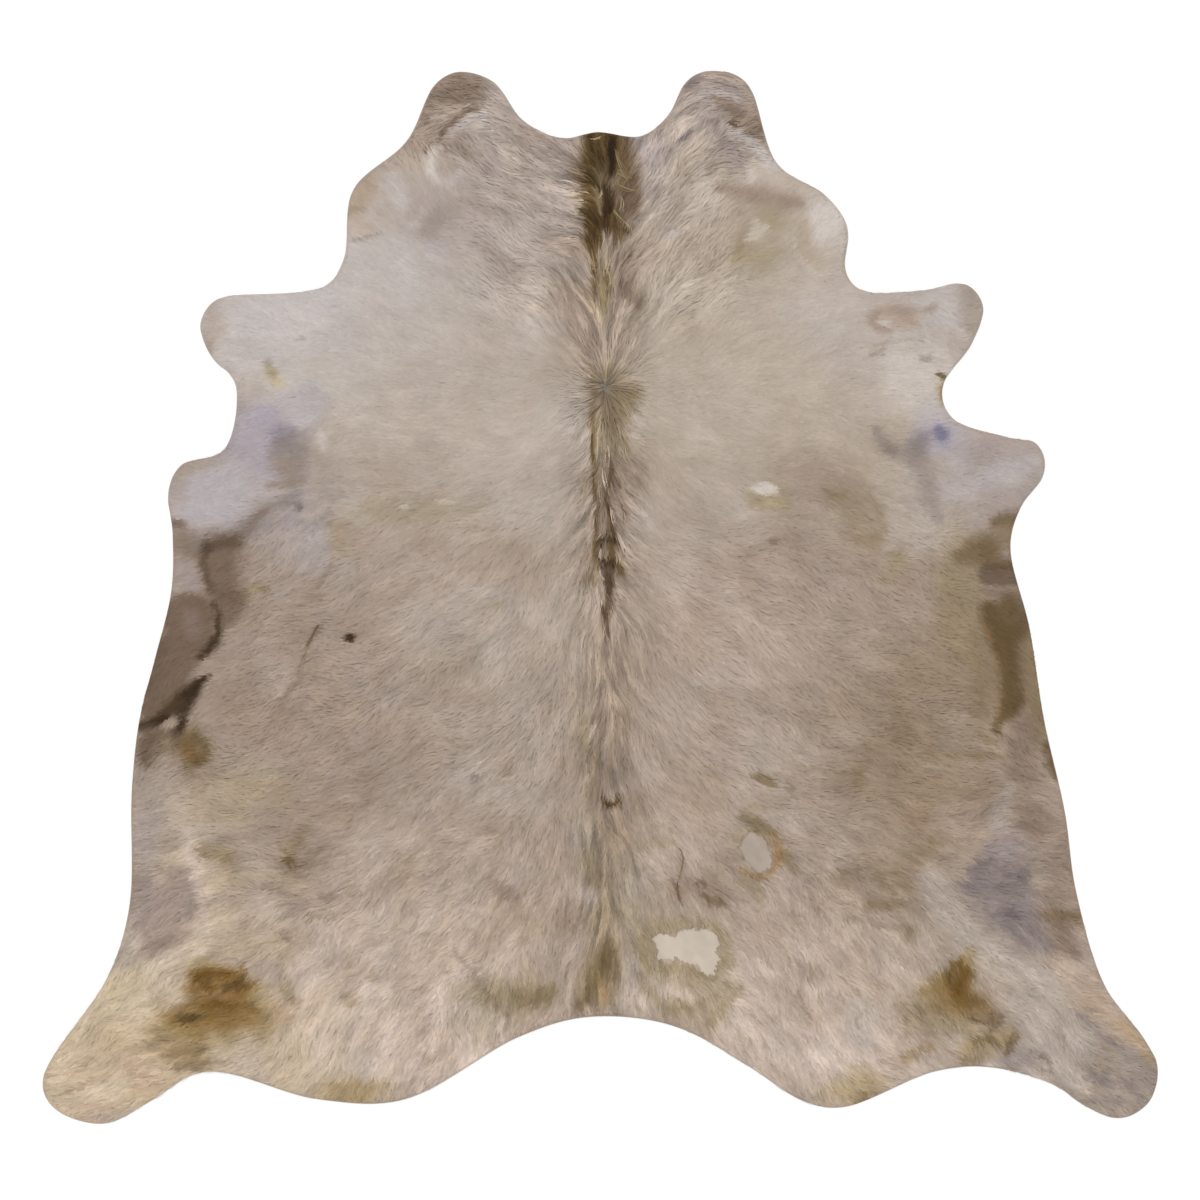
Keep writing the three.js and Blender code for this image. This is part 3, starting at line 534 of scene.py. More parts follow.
    ("left thigh strip", [(146, 830, 12), (146, 870, 12), (144, 905, 12)], "mauve", 0.45, 1.6),
    ("left thigh pale band", [(186, 836, 6), (192, 858, 7), (198, 878, 6), (204, 900, 5), (202, 930, 6)], "pale pink", 0.6, 1.6),
    ("left thigh olive patch", [(200, 848, 6), (214, 852, 8), (230, 858, 7)], "olive gold", 0.35, 1.8),
    ("left thigh olive patch, dark", [(198, 850, 2.4), (208, 853, 3), (230, 859, 3)], "olive", 0.35, 1.7),
    ("left flank olive arc", [(306, 826, 4), (300, 838, 5), (294, 850, 5), (290, 858, 5)], "olive", 0.65, 1.6),
    ("left flank olive dot", [(287, 860, 3.5), (292, 866, 4)], "dark olive", 0.9, 1.4),
    ("left flank olive dot, left", [(280, 846, 3), (286, 854, 3)], "olive", 0.6, 1.6),
    ("left thigh straw tufts", [(222, 880, 7), (246, 874, 7), (268, 876, 7), (290, 882, 6), (302, 886, 5)], "straw", 0.25, 1.9),
    ("left thigh mottle, upper", [(266, 888, 3), (282, 892, 4), (296, 896, 3)], "grey brown", 0.5, 1.8),
    ("left thigh mottle, middle", [(306, 918, 3), (318, 916, 3), (334, 920, 2)], "olive", 0.5, 1.8),
    ("left thigh mottle, far", [(322, 896, 3), (336, 900, 3)], "grey brown", 0.5, 1.8),
    ("left thigh mottle, low", [(282, 932, 4), (288, 938, 3)], "grey brown", 0.6, 1.6),
    # left golden patch
    ("left golden halo", [(252, 998, 17), (268, 1014, 16), (262, 1028, 12)], "pale golden", 0.8, 1.7),
    ("left golden halo, left", [(188, 972, 8), (186, 988, 8), (182, 1002, 8)], "pale golden", 0.25, 1.8),
    ("left golden halo, foot", [(166, 1032, 12), (190, 1037, 12), (232, 1034, 10)], "pale golden", 0.7, 1.7),
    ("left golden top", [(194, 974, 5), (208, 972, 7), (224, 973, 7), (238, 979, 7)], "golden", 0.85, 1.5),
    ("left golden top wisp", [(240, 964, 1.6), (242, 970, 2.4), (246, 978, 3)], "golden", 0.7, 1.6),
    ("left golden top wisp, left", [(192, 966, 5), (204, 962, 5), (216, 966, 4)], "pale golden", 0.6, 1.8),
    ("left golden middle", [(198, 988, 13), (216, 991, 17), (236, 993, 16)], "golden", 0.9, 1.2),
    ("left golden low", [(200, 1013, 13), (226, 1017, 14), (248, 1016, 12)], "golden", 0.85, 1.15),
    ("left golden low, pale", [(250, 1004, 7), (254, 1018, 9), (232, 1030, 6)], "pale golden", 0.35, 1.7),
    ("left golden arm", [(204, 1010, 10), (190, 1016, 11), (178, 1020, 8)], "golden", 0.8, 1.5),
    ("left golden arm field", [(168, 1018, 8), (182, 1027, 8), (198, 1029, 8)], "golden", 0.55, 1.7),
    ("left golden arm tip", [(186, 1005, 3.4), (175, 1010, 3.4)], "chestnut", 0.55, 1.6),
    ("left golden rust", [(204, 992, 6), (218, 996, 5), (230, 1000, 5)], "rust", 0.45, 1.8),
    ("left golden dark, left", [(196, 974, 4), (202, 984, 5), (212, 989, 4)], "dark golden", 0.6, 1.8),
    ("left golden dark, top", [(206, 976, 4), (220, 974, 3), (232, 976, 4)], "dark golden", 0.6, 1.8),
    ("left golden dark", [(226, 988, 4), (236, 986, 5), (244, 984, 4), (242, 977, 3)], "stripe", 0.55, 1.8),
    ("left golden dark streak", [(242, 990, 2.4), (252, 988, 2.4), (258, 986, 2)], "dark golden", 0.5, 1.6),
    ("left golden dark, middle", [(210, 1004, 3), (220, 1003, 4), (230, 1008, 3)], "dark golden", 0.6, 1.6),
    ("left golden dark, right", [(244, 1004, 3), (254, 1008, 3), (262, 1014, 3)], "dark golden", 0.35, 1.8),
    ("left golden pale streak", [(196, 984, 2), (206, 997, 2), (220, 990, 2)], "pale golden", 0.4, 1.8),
    ("left golden corner", [(181, 1012, 3), (178, 1018, 3.4), (183, 1023, 4.4), (192, 1018, 5), (203, 1016, 3)], "dark olive", 0.75, 1.6),
    ("left golden corner, core", [(182, 1023, 3), (188, 1019, 3.4), (196, 1017, 2.4)], "stripe", 0.75, 1.5),
    ("left golden corner, pale line", [(184, 1010, 1.5), (194, 1009, 1.5), (204, 1013, 1.5)], "pale golden", 0.6, 1.5),
    ("left golden fringe", [(174, 1035, 4), (188, 1038, 5), (202, 1037, 4)], "olive gold", 0.5, 1.7),
    ("left golden side spots", [(284, 986, 4), (290, 996, 5), (298, 1004, 4)], "olive", 0.6, 1.8),
    ("left golden side spot", [(262, 1012, 4), (268, 1020, 4)], "olive", 0.4, 1.8),
    ("left golden far fade", [(276, 1010, 9), (290, 1016, 9)], "tan", 0.6, 1.8),
    # left hind leg
    ("left leg mottle", [(152, 1046, 5), (166, 1040, 6), (180, 1048, 6)], "grey brown", 0.55, 1.8),
    ("left leg mottle, middle", [(168, 1056, 5), (180, 1052, 5), (194, 1051, 5), (203, 1046, 4)], "olive brown", 0.55, 1.8),
    ("left leg mottle, low", [(176, 1067, 4), (190, 1062, 5), (200, 1067, 5), (207, 1062, 3)], "olive brown", 0.5, 1.8),
    ("left leg tan field", [(160, 1034, 14), (182, 1046, 14), (196, 1055, 8)], "pale golden", 0.5, 1.6),
    ("left leg pale field", [(72, 1054, 12), (98, 1058, 14), (118, 1048, 10)], "leg cream", 0.5, 1.7),
    ("left leg pale field, right", [(220, 1052, 8), (232, 1060, 7)], "leg cream", 0.5, 1.7),
    ("left leg pink tan", [(124, 1060, 10), (138, 1072, 11), (150, 1078, 9)], "peach", 0.6, 1.6),
    ("left leg pink tan, lines", [(126, 1066, 2), (136, 1076, 2), (150, 1074, 2)], "tan", 0.7, 1.6),
    # Painted shade: darker lines along the creases of the left hind leg.
    ("left leg crease shade", [(58, 1094, 1.6), (74, 1090, 2), (92, 1078, 2)], "tan", 0.7, 1.6),
    ("left leg crease shade, upper", [(62, 1084, 1.2), (78, 1072, 1.6), (94, 1058, 1.2)], "tan", 0.5, 1.6),
    ("left leg tip shade", [(86, 1118, 3), (110, 1118, 4), (130, 1110, 3)], "mauve", 0.4, 1.8),
    ("left leg straw field", [(110, 1000, 16), (128, 984, 16), (148, 968, 12)], "straw", 0.3, 1.8),
    # flank scar
    ("flank scar rim", [(740, 836, 9), (756, 832, 10), (770, 838, 9), (776, 856, 9), (768, 872, 8), (748, 874, 7)], "pale olive", 0.6, 1.8),
    ("flank scar olive top", [(744, 816, 5), (756, 823, 7), (768, 832, 6)], "olive", 0.8, 1.5),
    ("flank scar olive top, faint", [(750, 808, 6), (760, 806, 6)], "pale olive", 0.5, 1.8),
    ("flank scar rust rim", [(774, 834, 3.5), (779, 846, 4.5), (779, 858, 5), (774, 868, 4), (766, 876, 3)], "rust", 0.6, 1.7),
    ("flank scar rust spot", [(780, 850, 3), (782, 860, 4)], "golden", 0.45, 1.6),
    ("flank scar olive side", [(786, 852, 4), (790, 864, 5), (796, 870, 4)], "olive", 0.6, 1.6),
    ("flank scar foot rim", [(742, 872, 2), (752, 877, 2.4), (764, 881, 2.4)], "rust", 0.65, 1.5),
    ("flank scar foot shade", [(742, 882, 6), (756, 890, 7), (762, 900, 5)], "pale olive", 0.6, 1.8),
    # rump
    ("rump scar rim", [(652, 938, 8), (650, 955, 9), (662, 970, 8), (684, 972, 8), (708, 980, 8), (724, 964, 8), (726, 944, 7), (712, 926, 6), (684, 922, 6), (664, 926, 7)], "pale olive", 0.75, 1.6),
    ("rump scar rim, foot", [(664, 968, 3), (682, 967, 3.5), (698, 975, 3.5), (712, 975, 3), (720, 962, 2.5)], "olive", 0.45, 1.7),
    ("rump scar rim, left", [(644, 936, 5), (642, 952, 6), (648, 968, 5)], "moss", 0.5, 1.8),
    ("rump moss ring", [(640, 980, 5), (650, 996, 5), (664, 1008, 5), (684, 1010, 5), (704, 1004, 5), (716, 992, 4), (728, 986, 4)], "pale olive", 0.7, 1.8),
    ("rump moss line", [(740, 988, 4), (728, 1002, 5), (716, 1014, 5), (706, 1026, 4)], "pale olive", 0.8, 1.7),
    ("rump pale patch", [(664, 994, 5), (676, 992, 6), (690, 998, 5)], "pale pink", 0.7, 1.7),
    ("rump pale tufts, left", [(620, 1000, 8), (634, 994, 9), (646, 1004, 7)], "pale pink", 0.6, 1.6),
    ("rump brown fleck", [(636, 972, 4), (642, 977, 4)], "grey brown", 0.8, 1.6),
    ("rump smudge halo", [(692, 884, 8), (706, 892, 10), (718, 902, 8)], "grey brown", 0.5, 1.7),
    ("rump smudge", [(696, 882, 2), (703, 884, 3), (706, 888, 2)], "brown", 0.85, 1.5),
    ("rump smudge, low", [(704, 896, 3), (712, 901, 4), (722, 902, 3)], "olive brown", 0.5, 1.7),
    ("rump pale field", [(650, 856, 14), (666, 862, 13)], "pink cream", 0.7, 1.5),
    ("rump pale field, edge", [(640, 848, 5), (654, 842, 5), (672, 842, 4)], "pale olive", 0.5, 1.8),
    ("rump hair scar", [(678, 846, 1), (683, 856, 1.6), (681, 868, 1.6), (678, 880, 1.4)], "grey brown", 0.4, 1.8),
    ("rump hair scar, low", [(677, 884, 1.8), (677, 894, 2), (680, 902, 1.4)], "brown", 0.4, 1.8),
    ("rump brown patch", [(806, 968, 9), (816, 974, 10)], "grey brown", 0.5, 1.7),
    ("rump brown patch, low", [(796, 1000, 8), (806, 1012, 9), (808, 1022, 7)], "grey brown", 0.4, 1.8),
    # spine foot
    ("spine dim", [(588, 858, 9), (592, 872, 12), (602, 884, 10)], "olive", 0.55, 1.7),
    ("spine dim, right", [(610, 858, 8), (612, 874, 10)], "grey brown", 0.5, 1.8),
    ("spine pale tuft", [(580, 892, 6), (592, 896, 7), (604, 893, 5)], "pale pink", 0.7, 1.5),
    ("spine dim, low", [(605, 896, 6), (604, 912, 8), (599, 928, 10)], "olive", 0.5, 1.8),
    ("spine foot", [(608, 944, 9), (603, 958, 15), (600, 974, 19), (596, 990, 19)], "olive", 0.85, 1.3),
    ("spine foot core", [(608, 950, 5), (604, 966, 8), (596, 980, 8)], "dark olive", 0.6, 1.7),
    ("spine foot, right", [(616, 950, 4), (618, 966, 4), (616, 982, 3)], "dark olive", 0.4, 1.8),
    ("rump right of the spine foot, pale", [(632, 966, 7), (634, 984, 7)], "cream grey", 0.45, 1.7),
    ("spine foot streaks", [(592, 984, 3), (586, 998, 4), (578, 1008, 4)], "dark olive", 0.6, 1.7),
    ("spine foot rust", [(603, 992, 4), (604, 1000, 4)], "rust", 0.4, 1.7),
    ("spine below smile", [(608, 812, 6), (606, 828, 8), (600, 844, 8)], "grey brown", 0.6, 1.7),
    ("centre smudge", [(492, 882, 5), (504, 890, 7), (518, 898, 6)], "grey brown", 0.6, 1.7),
    # lower right
    ("lower right dark strokes", [(880, 874, 4), (886, 884, 5), (892, 892, 4)], "olive", 0.6, 1.9),
    ("lower right brown spots", [(896, 872, 5), (902, 880, 7), (910, 890, 6)], "olive", 0.4, 1.9),
    ("lower right olive bar", [(868, 907, 5), (884, 905, 6), (902, 904, 5)], "olive", 0.7, 1.8),
    ("lower right olive bar, left", [(846, 918, 3), (858, 920, 4)], "olive", 0.5, 1.8),
    ("lower right olive spot, low", [(898, 926, 4), (912, 930, 5), (906, 938, 4)], "olive", 0.5, 1.8),
    ("lower right olive spot, high", [(922, 852, 6), (932, 842, 6)], "olive", 0.5, 1.8),
    ("right thigh light band", [(930, 880, 14), (950, 920, 16), (980, 944, 14), (1020, 972, 16), (1060, 985, 16)], "cream grey", 0.75, 1.6),
    ("right thigh peach band", [(1060, 966, 10), (1086, 990, 14), (1112, 1018, 12), (1138, 1042, 8)], "peach", 0.6, 1.7),
    ("right thigh smoke", [(1000, 862, 22), (996, 884, 30), (1010, 904, 27)], "thigh smoke", 0.8, 0.75),
    ("right thigh smoke, tip", [(980, 880, 14), (970, 888, 8)], "thigh smoke", 0.9, 0.8),
    ("right thigh smoke, tail", [(1020, 916, 20), (1032, 934, 17), (1044, 944, 10)], "thigh smoke", 0.75, 1.0),
    ("right thigh smoke, head", [(1004, 832, 10), (1010, 846, 16)], "mauve", 0.7, 1.5),
    ("right thigh dark, left", [(970, 872, 4), (982, 866, 5), (990, 860, 3)], "dark smoke", 0.5, 1.7),
    ("right thigh dark dot", [(1018, 873, 4), (1024, 872, 4), (1021, 880, 4)], "dark smoke", 0.75, 1.6),
    ("right thigh dark dot, left", [(1006, 872, 2.5), (1010, 876, 2.5)], "dark smoke", 0.7, 1.6),
    ("right thigh dark dot, low", [(1012, 908, 2.5), (1014, 914, 3.5), (1020, 918, 2)], "dark smoke", 0.8, 1.5),
    ("right thigh edge field", [(1054, 850, 16), (1060, 890, 18), (1068, 920, 18), (1074, 944, 15)], "flank taupe", 0.6, 1.6),
    ("right thigh edge shade", [(1060, 842, 12), (1064, 880, 14)], "grey brown", 0.4, 1.8),
    ("right thigh brown band", [(1046, 914, 6), (1060, 916, 8), (1080, 918, 8)], "olive brown", 0.5, 1.8),
    ("right thigh brown edge", [(1060, 930, 10), (1066, 944, 11), (1074, 952, 7)], "brown", 0.5, 1.7),
    # right golden patch
    ("right golden fade, left", [(904, 1004, 9), (918, 996, 10), (934, 986, 10)], "pale olive", 0.6, 1.8),
    ("right golden fade, low", [(914, 1016, 10), (940, 1020, 14), (966, 1028, 13)], "pale olive", 0.75, 1.8),
    ("right golden fade, foot", [(968, 1048, 9), (990, 1044, 13), (1008, 1036, 9)], "pale golden", 0.6, 1.7),
    ("right golden field", [(936, 1004, 11), (950, 1001, 16), (972, 1004, 16), (986, 1014, 11)], "olive gold", 0.55, 1.8),
    ("right golden patch", [(964, 964, 7), (960, 976, 13), (950, 988, 15), (960, 1000, 14)], "olive gold", 0.9, 1.6),
    ("right golden patch, tip", [(972, 946, 2), (968, 956, 4), (962, 964, 5)], "pale golden", 0.8, 1.6),
    ("right golden patch, arm", [(944, 978, 6), (934, 985, 7), (922, 991, 5)], "olive gold", 0.6, 1.8),
    ("right golden patch, dark top", [(961, 968, 5), (964, 978, 8), (958, 990, 8)], "dark golden", 0.7, 1.7),
    ("right golden patch, dark line", [(952, 964, 3), (950, 974, 4), (944, 986, 3)], "dark golden", 0.5, 1.7),
    ("right golden patch, dark foot", [(958, 998, 5), (972, 1001, 7), (984, 1001, 5)], "dark golden", 0.45, 1.8),
    ("right golden curl", [(972, 1013, 2.6), (982, 1011, 3), (990, 1014, 2.6)], "rust", 0.35, 1.6),
    ("right golden curl, line", [(970, 1018, 1.6), (980, 1022, 1.6), (992, 1020, 1.6), (996, 1012, 1.4)], "olive brown", 0.7, 1.4),
    ("right golden marks", [(990, 1030, 3), (998, 1022, 4), (1004, 1016, 3)], "olive brown", 0.6, 1.8),
    ("right golden marks, right", [(1008, 1052, 4), (1012, 1042, 4.4), (1016, 1033, 3)], "olive brown", 0.75, 1.7),
    ("right golden marks, low", [(976, 1042, 4), (988, 1038, 4), (998, 1045, 4)], "dark olive", 0.55, 1.8),
    ("right golden marks, foot", [(966, 1060, 4), (976, 1060, 4), (986, 1056, 3)], "olive", 0.7, 1.6),
    ("right golden marks, far left", [(894, 1006, 3), (902, 1013, 4), (906, 1020, 3)], "grey brown", 0.5, 1.8),
    ("right golden marks, left", [(914, 1004, 3), (922, 1009, 4), (918, 1018, 3)], "olive", 0.6, 1.8),
    ("right golden pale tufts", [(952, 1044, 5), (960, 1036, 4)], "cream grey", 0.6, 1.7),
    ("right golden spot", [(906, 1058, 4), (918, 1052, 5), (930, 1046, 4)], "olive gold", 0.5, 1.7),
    # right hind leg
    ("right leg cool field", [(1020, 1006, 16), (1050, 1022, 22), (1076, 1040, 18)], "cream grey", 0.7, 1.6),
    ("right leg streaks", [(1078, 1013, 2.2), (1092, 1025, 3), (1106, 1036, 2.4), (1120, 1050, 2.4)], "smoke", 0.85, 1.5),
    ("right leg streaks, low", [(1050, 1030, 2), (1070, 1044, 2.4), (1090, 1054, 2)], "smoke", 0.4, 1.7),
    ("right leg rim", [(1120, 1022, 4), (1140, 1044, 5), (1152, 1062, 4)], "leg gold", 0.6, 1.7),
    ("right leg swirl, ring", [(1040, 1054, 2), (1048, 1060, 2.4), (1050, 1070, 2.4), (1042, 1072, 2)], "grey brown", 0.75, 1.5),
    ("right leg swirl, eye", [(1044, 1064, 2.6), (1046, 1068, 2.6)], "milk", 0.35, 1.8),
    ("right leg curls", [(1090, 1070, 2.6), (1100, 1082, 3.4), (1108, 1074, 2.6), (1106, 1090, 2.6)], "smoke", 0.95, 1.5),
    ("right leg curls, right", [(1112, 1086, 2.6), (1122, 1079, 3), (1130, 1089, 3), (1140, 1098, 2.6)], "smoke", 0.95, 1.5),
    ("right leg curls, low", [(1092, 1098, 4), (1104, 1102, 5), (1120, 1100, 4)], "smoke", 0.6, 1.8),
    ("right leg pale tufts", [(1064, 1066, 8), (1078, 1078, 9), (1086, 1090, 6)], "cream grey", 0.75, 1.7),
    ("right leg tip", [(1148, 1068, 5), (1146, 1084, 6), (1138, 1098, 5)], "smoke", 0.4, 1.8),
    # middle stripe
    ("stripe left band, whorl", [(591, 366, 3), (592, 380, 4), (593, 398, 4), (594, 416, 3)], "olive", 0.7, 1.4),
    ("stripe left band, whorl core", [(592, 374, 2.4), (592, 386, 3), (594, 398, 2.4)], "dark olive", 0.4, 1.6),
    ("stripe under whorl, dark", [(604, 394, 4), (608, 410, 5), (613, 424, 6), (612, 436, 4)], "brown", 0.45, 1.7),
    ("stripe left line", [(593, 412, 3), (593, 435, 2.6), (594, 460, 2.4), (596, 485, 2.4), (597, 515, 2.4), (596, 545, 2.6)], "dark olive", 0.7, 1.2),
    ("stripe right line", [(607, 452, 2.4), (611, 463, 3.2), (610, 480, 3), (606, 494, 2.6), (609, 508, 3.4), (613, 524, 4.2), (611, 538, 4)], "belly brown", 0.95, 1.2),
    ("stripe right line, olive", [(624, 432, 3), (628, 446, 3), (629, 456, 2)], "pale olive", 0.7, 1.6),
    ("stripe right fan", [(616, 490, 3), (626, 508, 3), (630, 522, 2)], "grey brown", 0.5, 1.8),
    ("curl arc", [(599, 545, 2.6), (604, 541, 3.2), (610, 541, 3.6), (616, 543, 3.4), (622, 549, 2.6)], "black brown", 0.9, 1.0),
    ("curl left side", [(597, 546, 2.4), (595, 556, 2.8), (598, 566, 2.8)], "dark olive", 0.8, 1.2),
    ("curl right side", [(612, 546, 3), (611, 556, 3), (609, 563, 4)], "stripe", 0.8, 0.9),
    ("curl blob", [(600, 563, 3), (606, 564, 5), (613, 565, 5), (620, 568, 3)], "black brown", 0.9, 1.0),
    ("curl blob right", [(617, 566, 4), (619, 572, 3)], "dark olive", 0.8, 0.9),
    ("curl inner line", [(606, 568, 2.5), (604, 578, 2), (606, 584, 3)], "stripe", 0.85, 0.9),
    ("curl tail", [(608, 572, 5), (607, 586, 5.4), (608, 600, 4), (607, 612, 3.2), (606, 622, 3.4), (609, 638, 1.5)], "brown", 0.9, 1.2),
    ("curl tail, dark", [(608, 574, 3), (606, 588, 3), (609, 602, 2.4), (606, 618, 2)], "belly dark", 0.7, 1.4),
    # smile on the spine
    ("smile", [(603, 799, 2.4), (607, 803, 3.6), (611, 805, 3.6), (616, 801, 3), (620, 797, 2.4)], "stripe", 0.9, 1.4),
    ("spine knot", [(592, 722, 2), (597, 716, 2.5), (604, 712, 2.5)], "grey brown", 0.5, 1.0),
    ("left rump scar row", [(450, 949, 2.5), (466, 966, 3), (484, 988, 3.5), (505, 1014, 3)], "grey brown", 0.45, 1.3),
]

# Long hairs that stand out on the spine, and the fine dark scars of the back: colour, half width, spread of the strands
# and the way of the lock from its root to its tip.
CURLS = [
    ("blond", 0.36, 0.8, [(606, 134), (602, 137), (596, 140), (590, 141)]),
    ("curl gold", 0.26, 1.7, [(615, 145), (617, 155), (620, 164), (626, 174)]),
    ("curl gold", 0.24, 1.8, [(614, 168), (620, 173), (631, 178)]),
    ("curl gold", 0.28, 1.8, [(610, 176), (615, 183), (622, 187), (629, 190), (637, 190)]),
    ("pale olive", 0.32, 1.2, [(618, 192), (622, 202), (621, 212)]),
    ("curl gold", 0.26, 1.7, [(613, 205), (616, 212), (621, 218), (626, 222)]),
    ("pale olive", 0.34, 0.9, [(603, 185), (602, 193), (597, 200)]),
    ("olive", 0.34, 1.0, [(600, 203), (600, 212), (603, 218)]),
    ("pale olive", 0.30, 1.0, [(622, 220), (629, 226), (629, 233)]),
    ("curl gold", 0.30, 0.8, [(604, 224), (600, 234), (599, 246), (598, 262), (597, 272)]),
    ("curl gold", 0.30, 0.8, [(595, 238), (592, 250), (594, 264), (597, 284)]),
    ("blond", 0.28, 1.0, [(584, 246), (589, 258), (593, 274)]),
    ("pale olive", 0.30, 1.3, [(600, 262), (607, 270), (611, 282), (609, 294)]),
    ("curl gold", 0.30, 1.0, [(606, 262), (602, 276), (604, 292), (603, 312)]),
    ("curl gold", 0.30, 1.0, [(598, 280), (601, 296), (606, 316)]),
    ("blond", 0.28, 1.0, [(573, 279), (579, 287), (586, 296)]),
    ("fawn", 0.28, 1.4, [(598, 290), (594, 306), (596, 326)]),
    ("fawn", 0.28, 1.4, [(612, 240), (607, 256), (609, 270)]),
    ("fawn", 0.28, 1.4, [(636, 242), (629, 252), (620, 266)]),
    ("cream grey", 0.28, 1.2, [(556, 181), (568, 182), (581, 189)]),
    ("fawn", 0.26, 2.4, [(600, 322), (598, 340), (602, 358)]),
    ("fawn", 0.26, 2.4, [(598, 428), (602, 446), (602, 466)]),
    ("pink cream", 0.26, 1.4, [(604, 436), (608, 452), (606, 468)]),
    ("pink cream", 0.28, 1.2, [(603, 462), (604, 478), (608, 492)]),
    ("fawn", 0.26, 2.2, [(600, 470), (598, 490), (600, 512)]),
    ("fawn", 0.26, 2.0, [(614, 462), (622, 482), (624, 504)]),
    ("fawn", 0.26, 2.0, [(612, 486), (620, 506), (624, 526)]),
    ("fawn", 0.26, 1.8, [(602, 500), (600, 520), (603, 538)]),
    ("pink cream", 0.24, 1.2, [(611, 500), (613, 516), (617, 530)]),
    ("fawn", 0.26, 1.8, [(588, 470), (584, 490), (582, 508)]),
    ("pink cream", 0.26, 0.9, [(603, 544), (601, 554), (601, 564)]),
    ("fawn", 0.26, 1.0, [(608, 546), (607, 555), (604, 562)]),
    ("fawn", 0.26, 1.0, [(613, 550), (617, 558), (616, 566)]),
    ("pink cream", 0.28, 0.6, [(602, 566), (600, 572), (602, 578), (607, 580)]),
    ("fawn", 0.26, 1.2, [(598, 580), (600, 592), (604, 604)]),
    ("fawn", 0.26, 1.2, [(614, 590), (613, 606), (609, 622)]),
    ("fawn", 0.26, 1.4, [(602, 606), (602, 622), (604, 636)]),
    ("pale olive", 0.28, 1.6, [(618, 400), (628, 412), (632, 428)]),
    ("pale olive", 0.28, 1.6, [(614, 394), (626, 402), (634, 416)]),
    ("curl gold", 0.28, 1.4, [(624, 390), (632, 393), (638, 400)]),
    ("pale olive", 0.28, 1.4, [(620, 430), (625, 444), (628, 458)]),
    ("dark olive", 0.28, 1.0, [(592, 424), (592, 446), (593, 470)]),
    ("dark olive", 0.28, 1.0, [(593, 462), (594, 486), (596, 512)]),
    ("olive brown", 0.28, 1.0, [(596, 506), (596, 526), (597, 546)]),
    ("olive brown", 0.28, 1.2, [(608, 458), (612, 470), (610, 488)]),
    ("stripe", 0.30, 1.2, [(605, 490), (607, 506), (612, 524)]),
    ("stripe", 0.30, 1.4, [(607, 508), (611, 524), (612, 542)]),
    ("olive brown", 0.26, 1.2, [(618, 498), (624, 512), (626, 526)]),
    ("stripe", 0.28, 1.6, [(600, 598), (603, 612), (606, 626)]),
    ("dark olive", 0.26, 1.2, [(601, 798), (606, 803), (611, 805), (617, 802), (621, 797)]),
    ("stripe", 0.24, 1.2, [(604, 801), (609, 806), (614, 803)]),
    ("chestnut", 0.20, 0.6, [(322, 620), (316, 629), (311, 639), (306, 649)]),
    ("fawn", 0.12, 0.9, [(306, 650), (303, 662), (299, 673)]),
    ("chestnut", 0.13, 0.5, [(677, 844), (683, 857), (681, 871), (678, 882)]),
    ("chestnut", 0.20, 0.5, [(678, 879), (677, 889), (680, 902)]),
]


def log(what):
    print(f"{time.perf_counter() - STARTED:6.1f} s  {what}", flush=True)


def place(across, down, z=0.0):
    """Metres in the part's frame."""
    across, down = np.asarray(across, float), np.asarray(down, float)
    return np.stack([(across - MIDDLE[0]) * UNIT, (MIDDLE[1] - down) * UNIT, np.broadcast_to(z, across.shape)], -1)


def smoothstep(t):
    t = np.clip(t, 0, 1)
    return t * t * (3 - 2 * t)


def roughness(across, down):
    """How uneven the coat is: 0.5 on the sleek shoulders, 1 on the flanks, over 1.5 on the neck, the rump and by the spine."""
    off = np.abs(across - 605)
    rough = 0.50 + 0.50 * smoothstep((down - 430) / 170) + 0.15 * smoothstep((down - 640) / 100) + 0.40 * smoothstep((down - 800) / 70)
    near = smoothstep((160 - off) / 90) * smoothstep((350 - down) / 70)
    rough = np.maximum(rough, 0.5 + 1.2 * near)
    rough = np.maximum(rough, 1.5 * np.exp(-((off / 45) ** 2)))
    rough = rough - 0.35 * smoothstep((off - 350) / 40) * smoothstep((760 - down) / 60) * smoothstep((down - 460) / 60)
    return rough + (1.7 - rough) * smoothstep((185 - down) / 50)


# ------------------------------------------------------------ noise on the square
def soft_noise(size, seed):
    """Smooth noise of mean 0 and spread 1, its features about `size` units."""
    white = np.random.default_rng(seed).standard_normal((SPAN, SPAN)).astype(np.float32)
    ky = np.fft.fftfreq(SPAN)[:, None] * 2 * math.pi
    kx = np.fft.rfftfreq(SPAN)[None] * 2 * math.pi
    out = np.fft.irfft2(np.fft.rfft2(white) * np.exp(-(kx * kx + ky * ky) * (size * 0.5) ** 2 / 2), (SPAN, SPAN))
    return ((out - out.mean()) / out.std()).astype(np.float32)


def sample(field, across, down):
    """field read between its cells."""
    x = np.clip(across, 0, SPAN - 1.01).astype(np.float32)
    y = np.clip(down, 0, SPAN - 1.01).astype(np.float32)
    x0, y0 = x.astype(np.int32), y.astype(np.int32)
    fx, fy = x - x0, y - y0
    flat, i = field.ravel(), y0 * SPAN + x0
    return (flat[i] * (1 - fx) + flat[i + 1] * fx) * (1 - fy) + (flat[i + SPAN] * (1 - fx) + flat[i + SPAN + 1] * fx) * fy


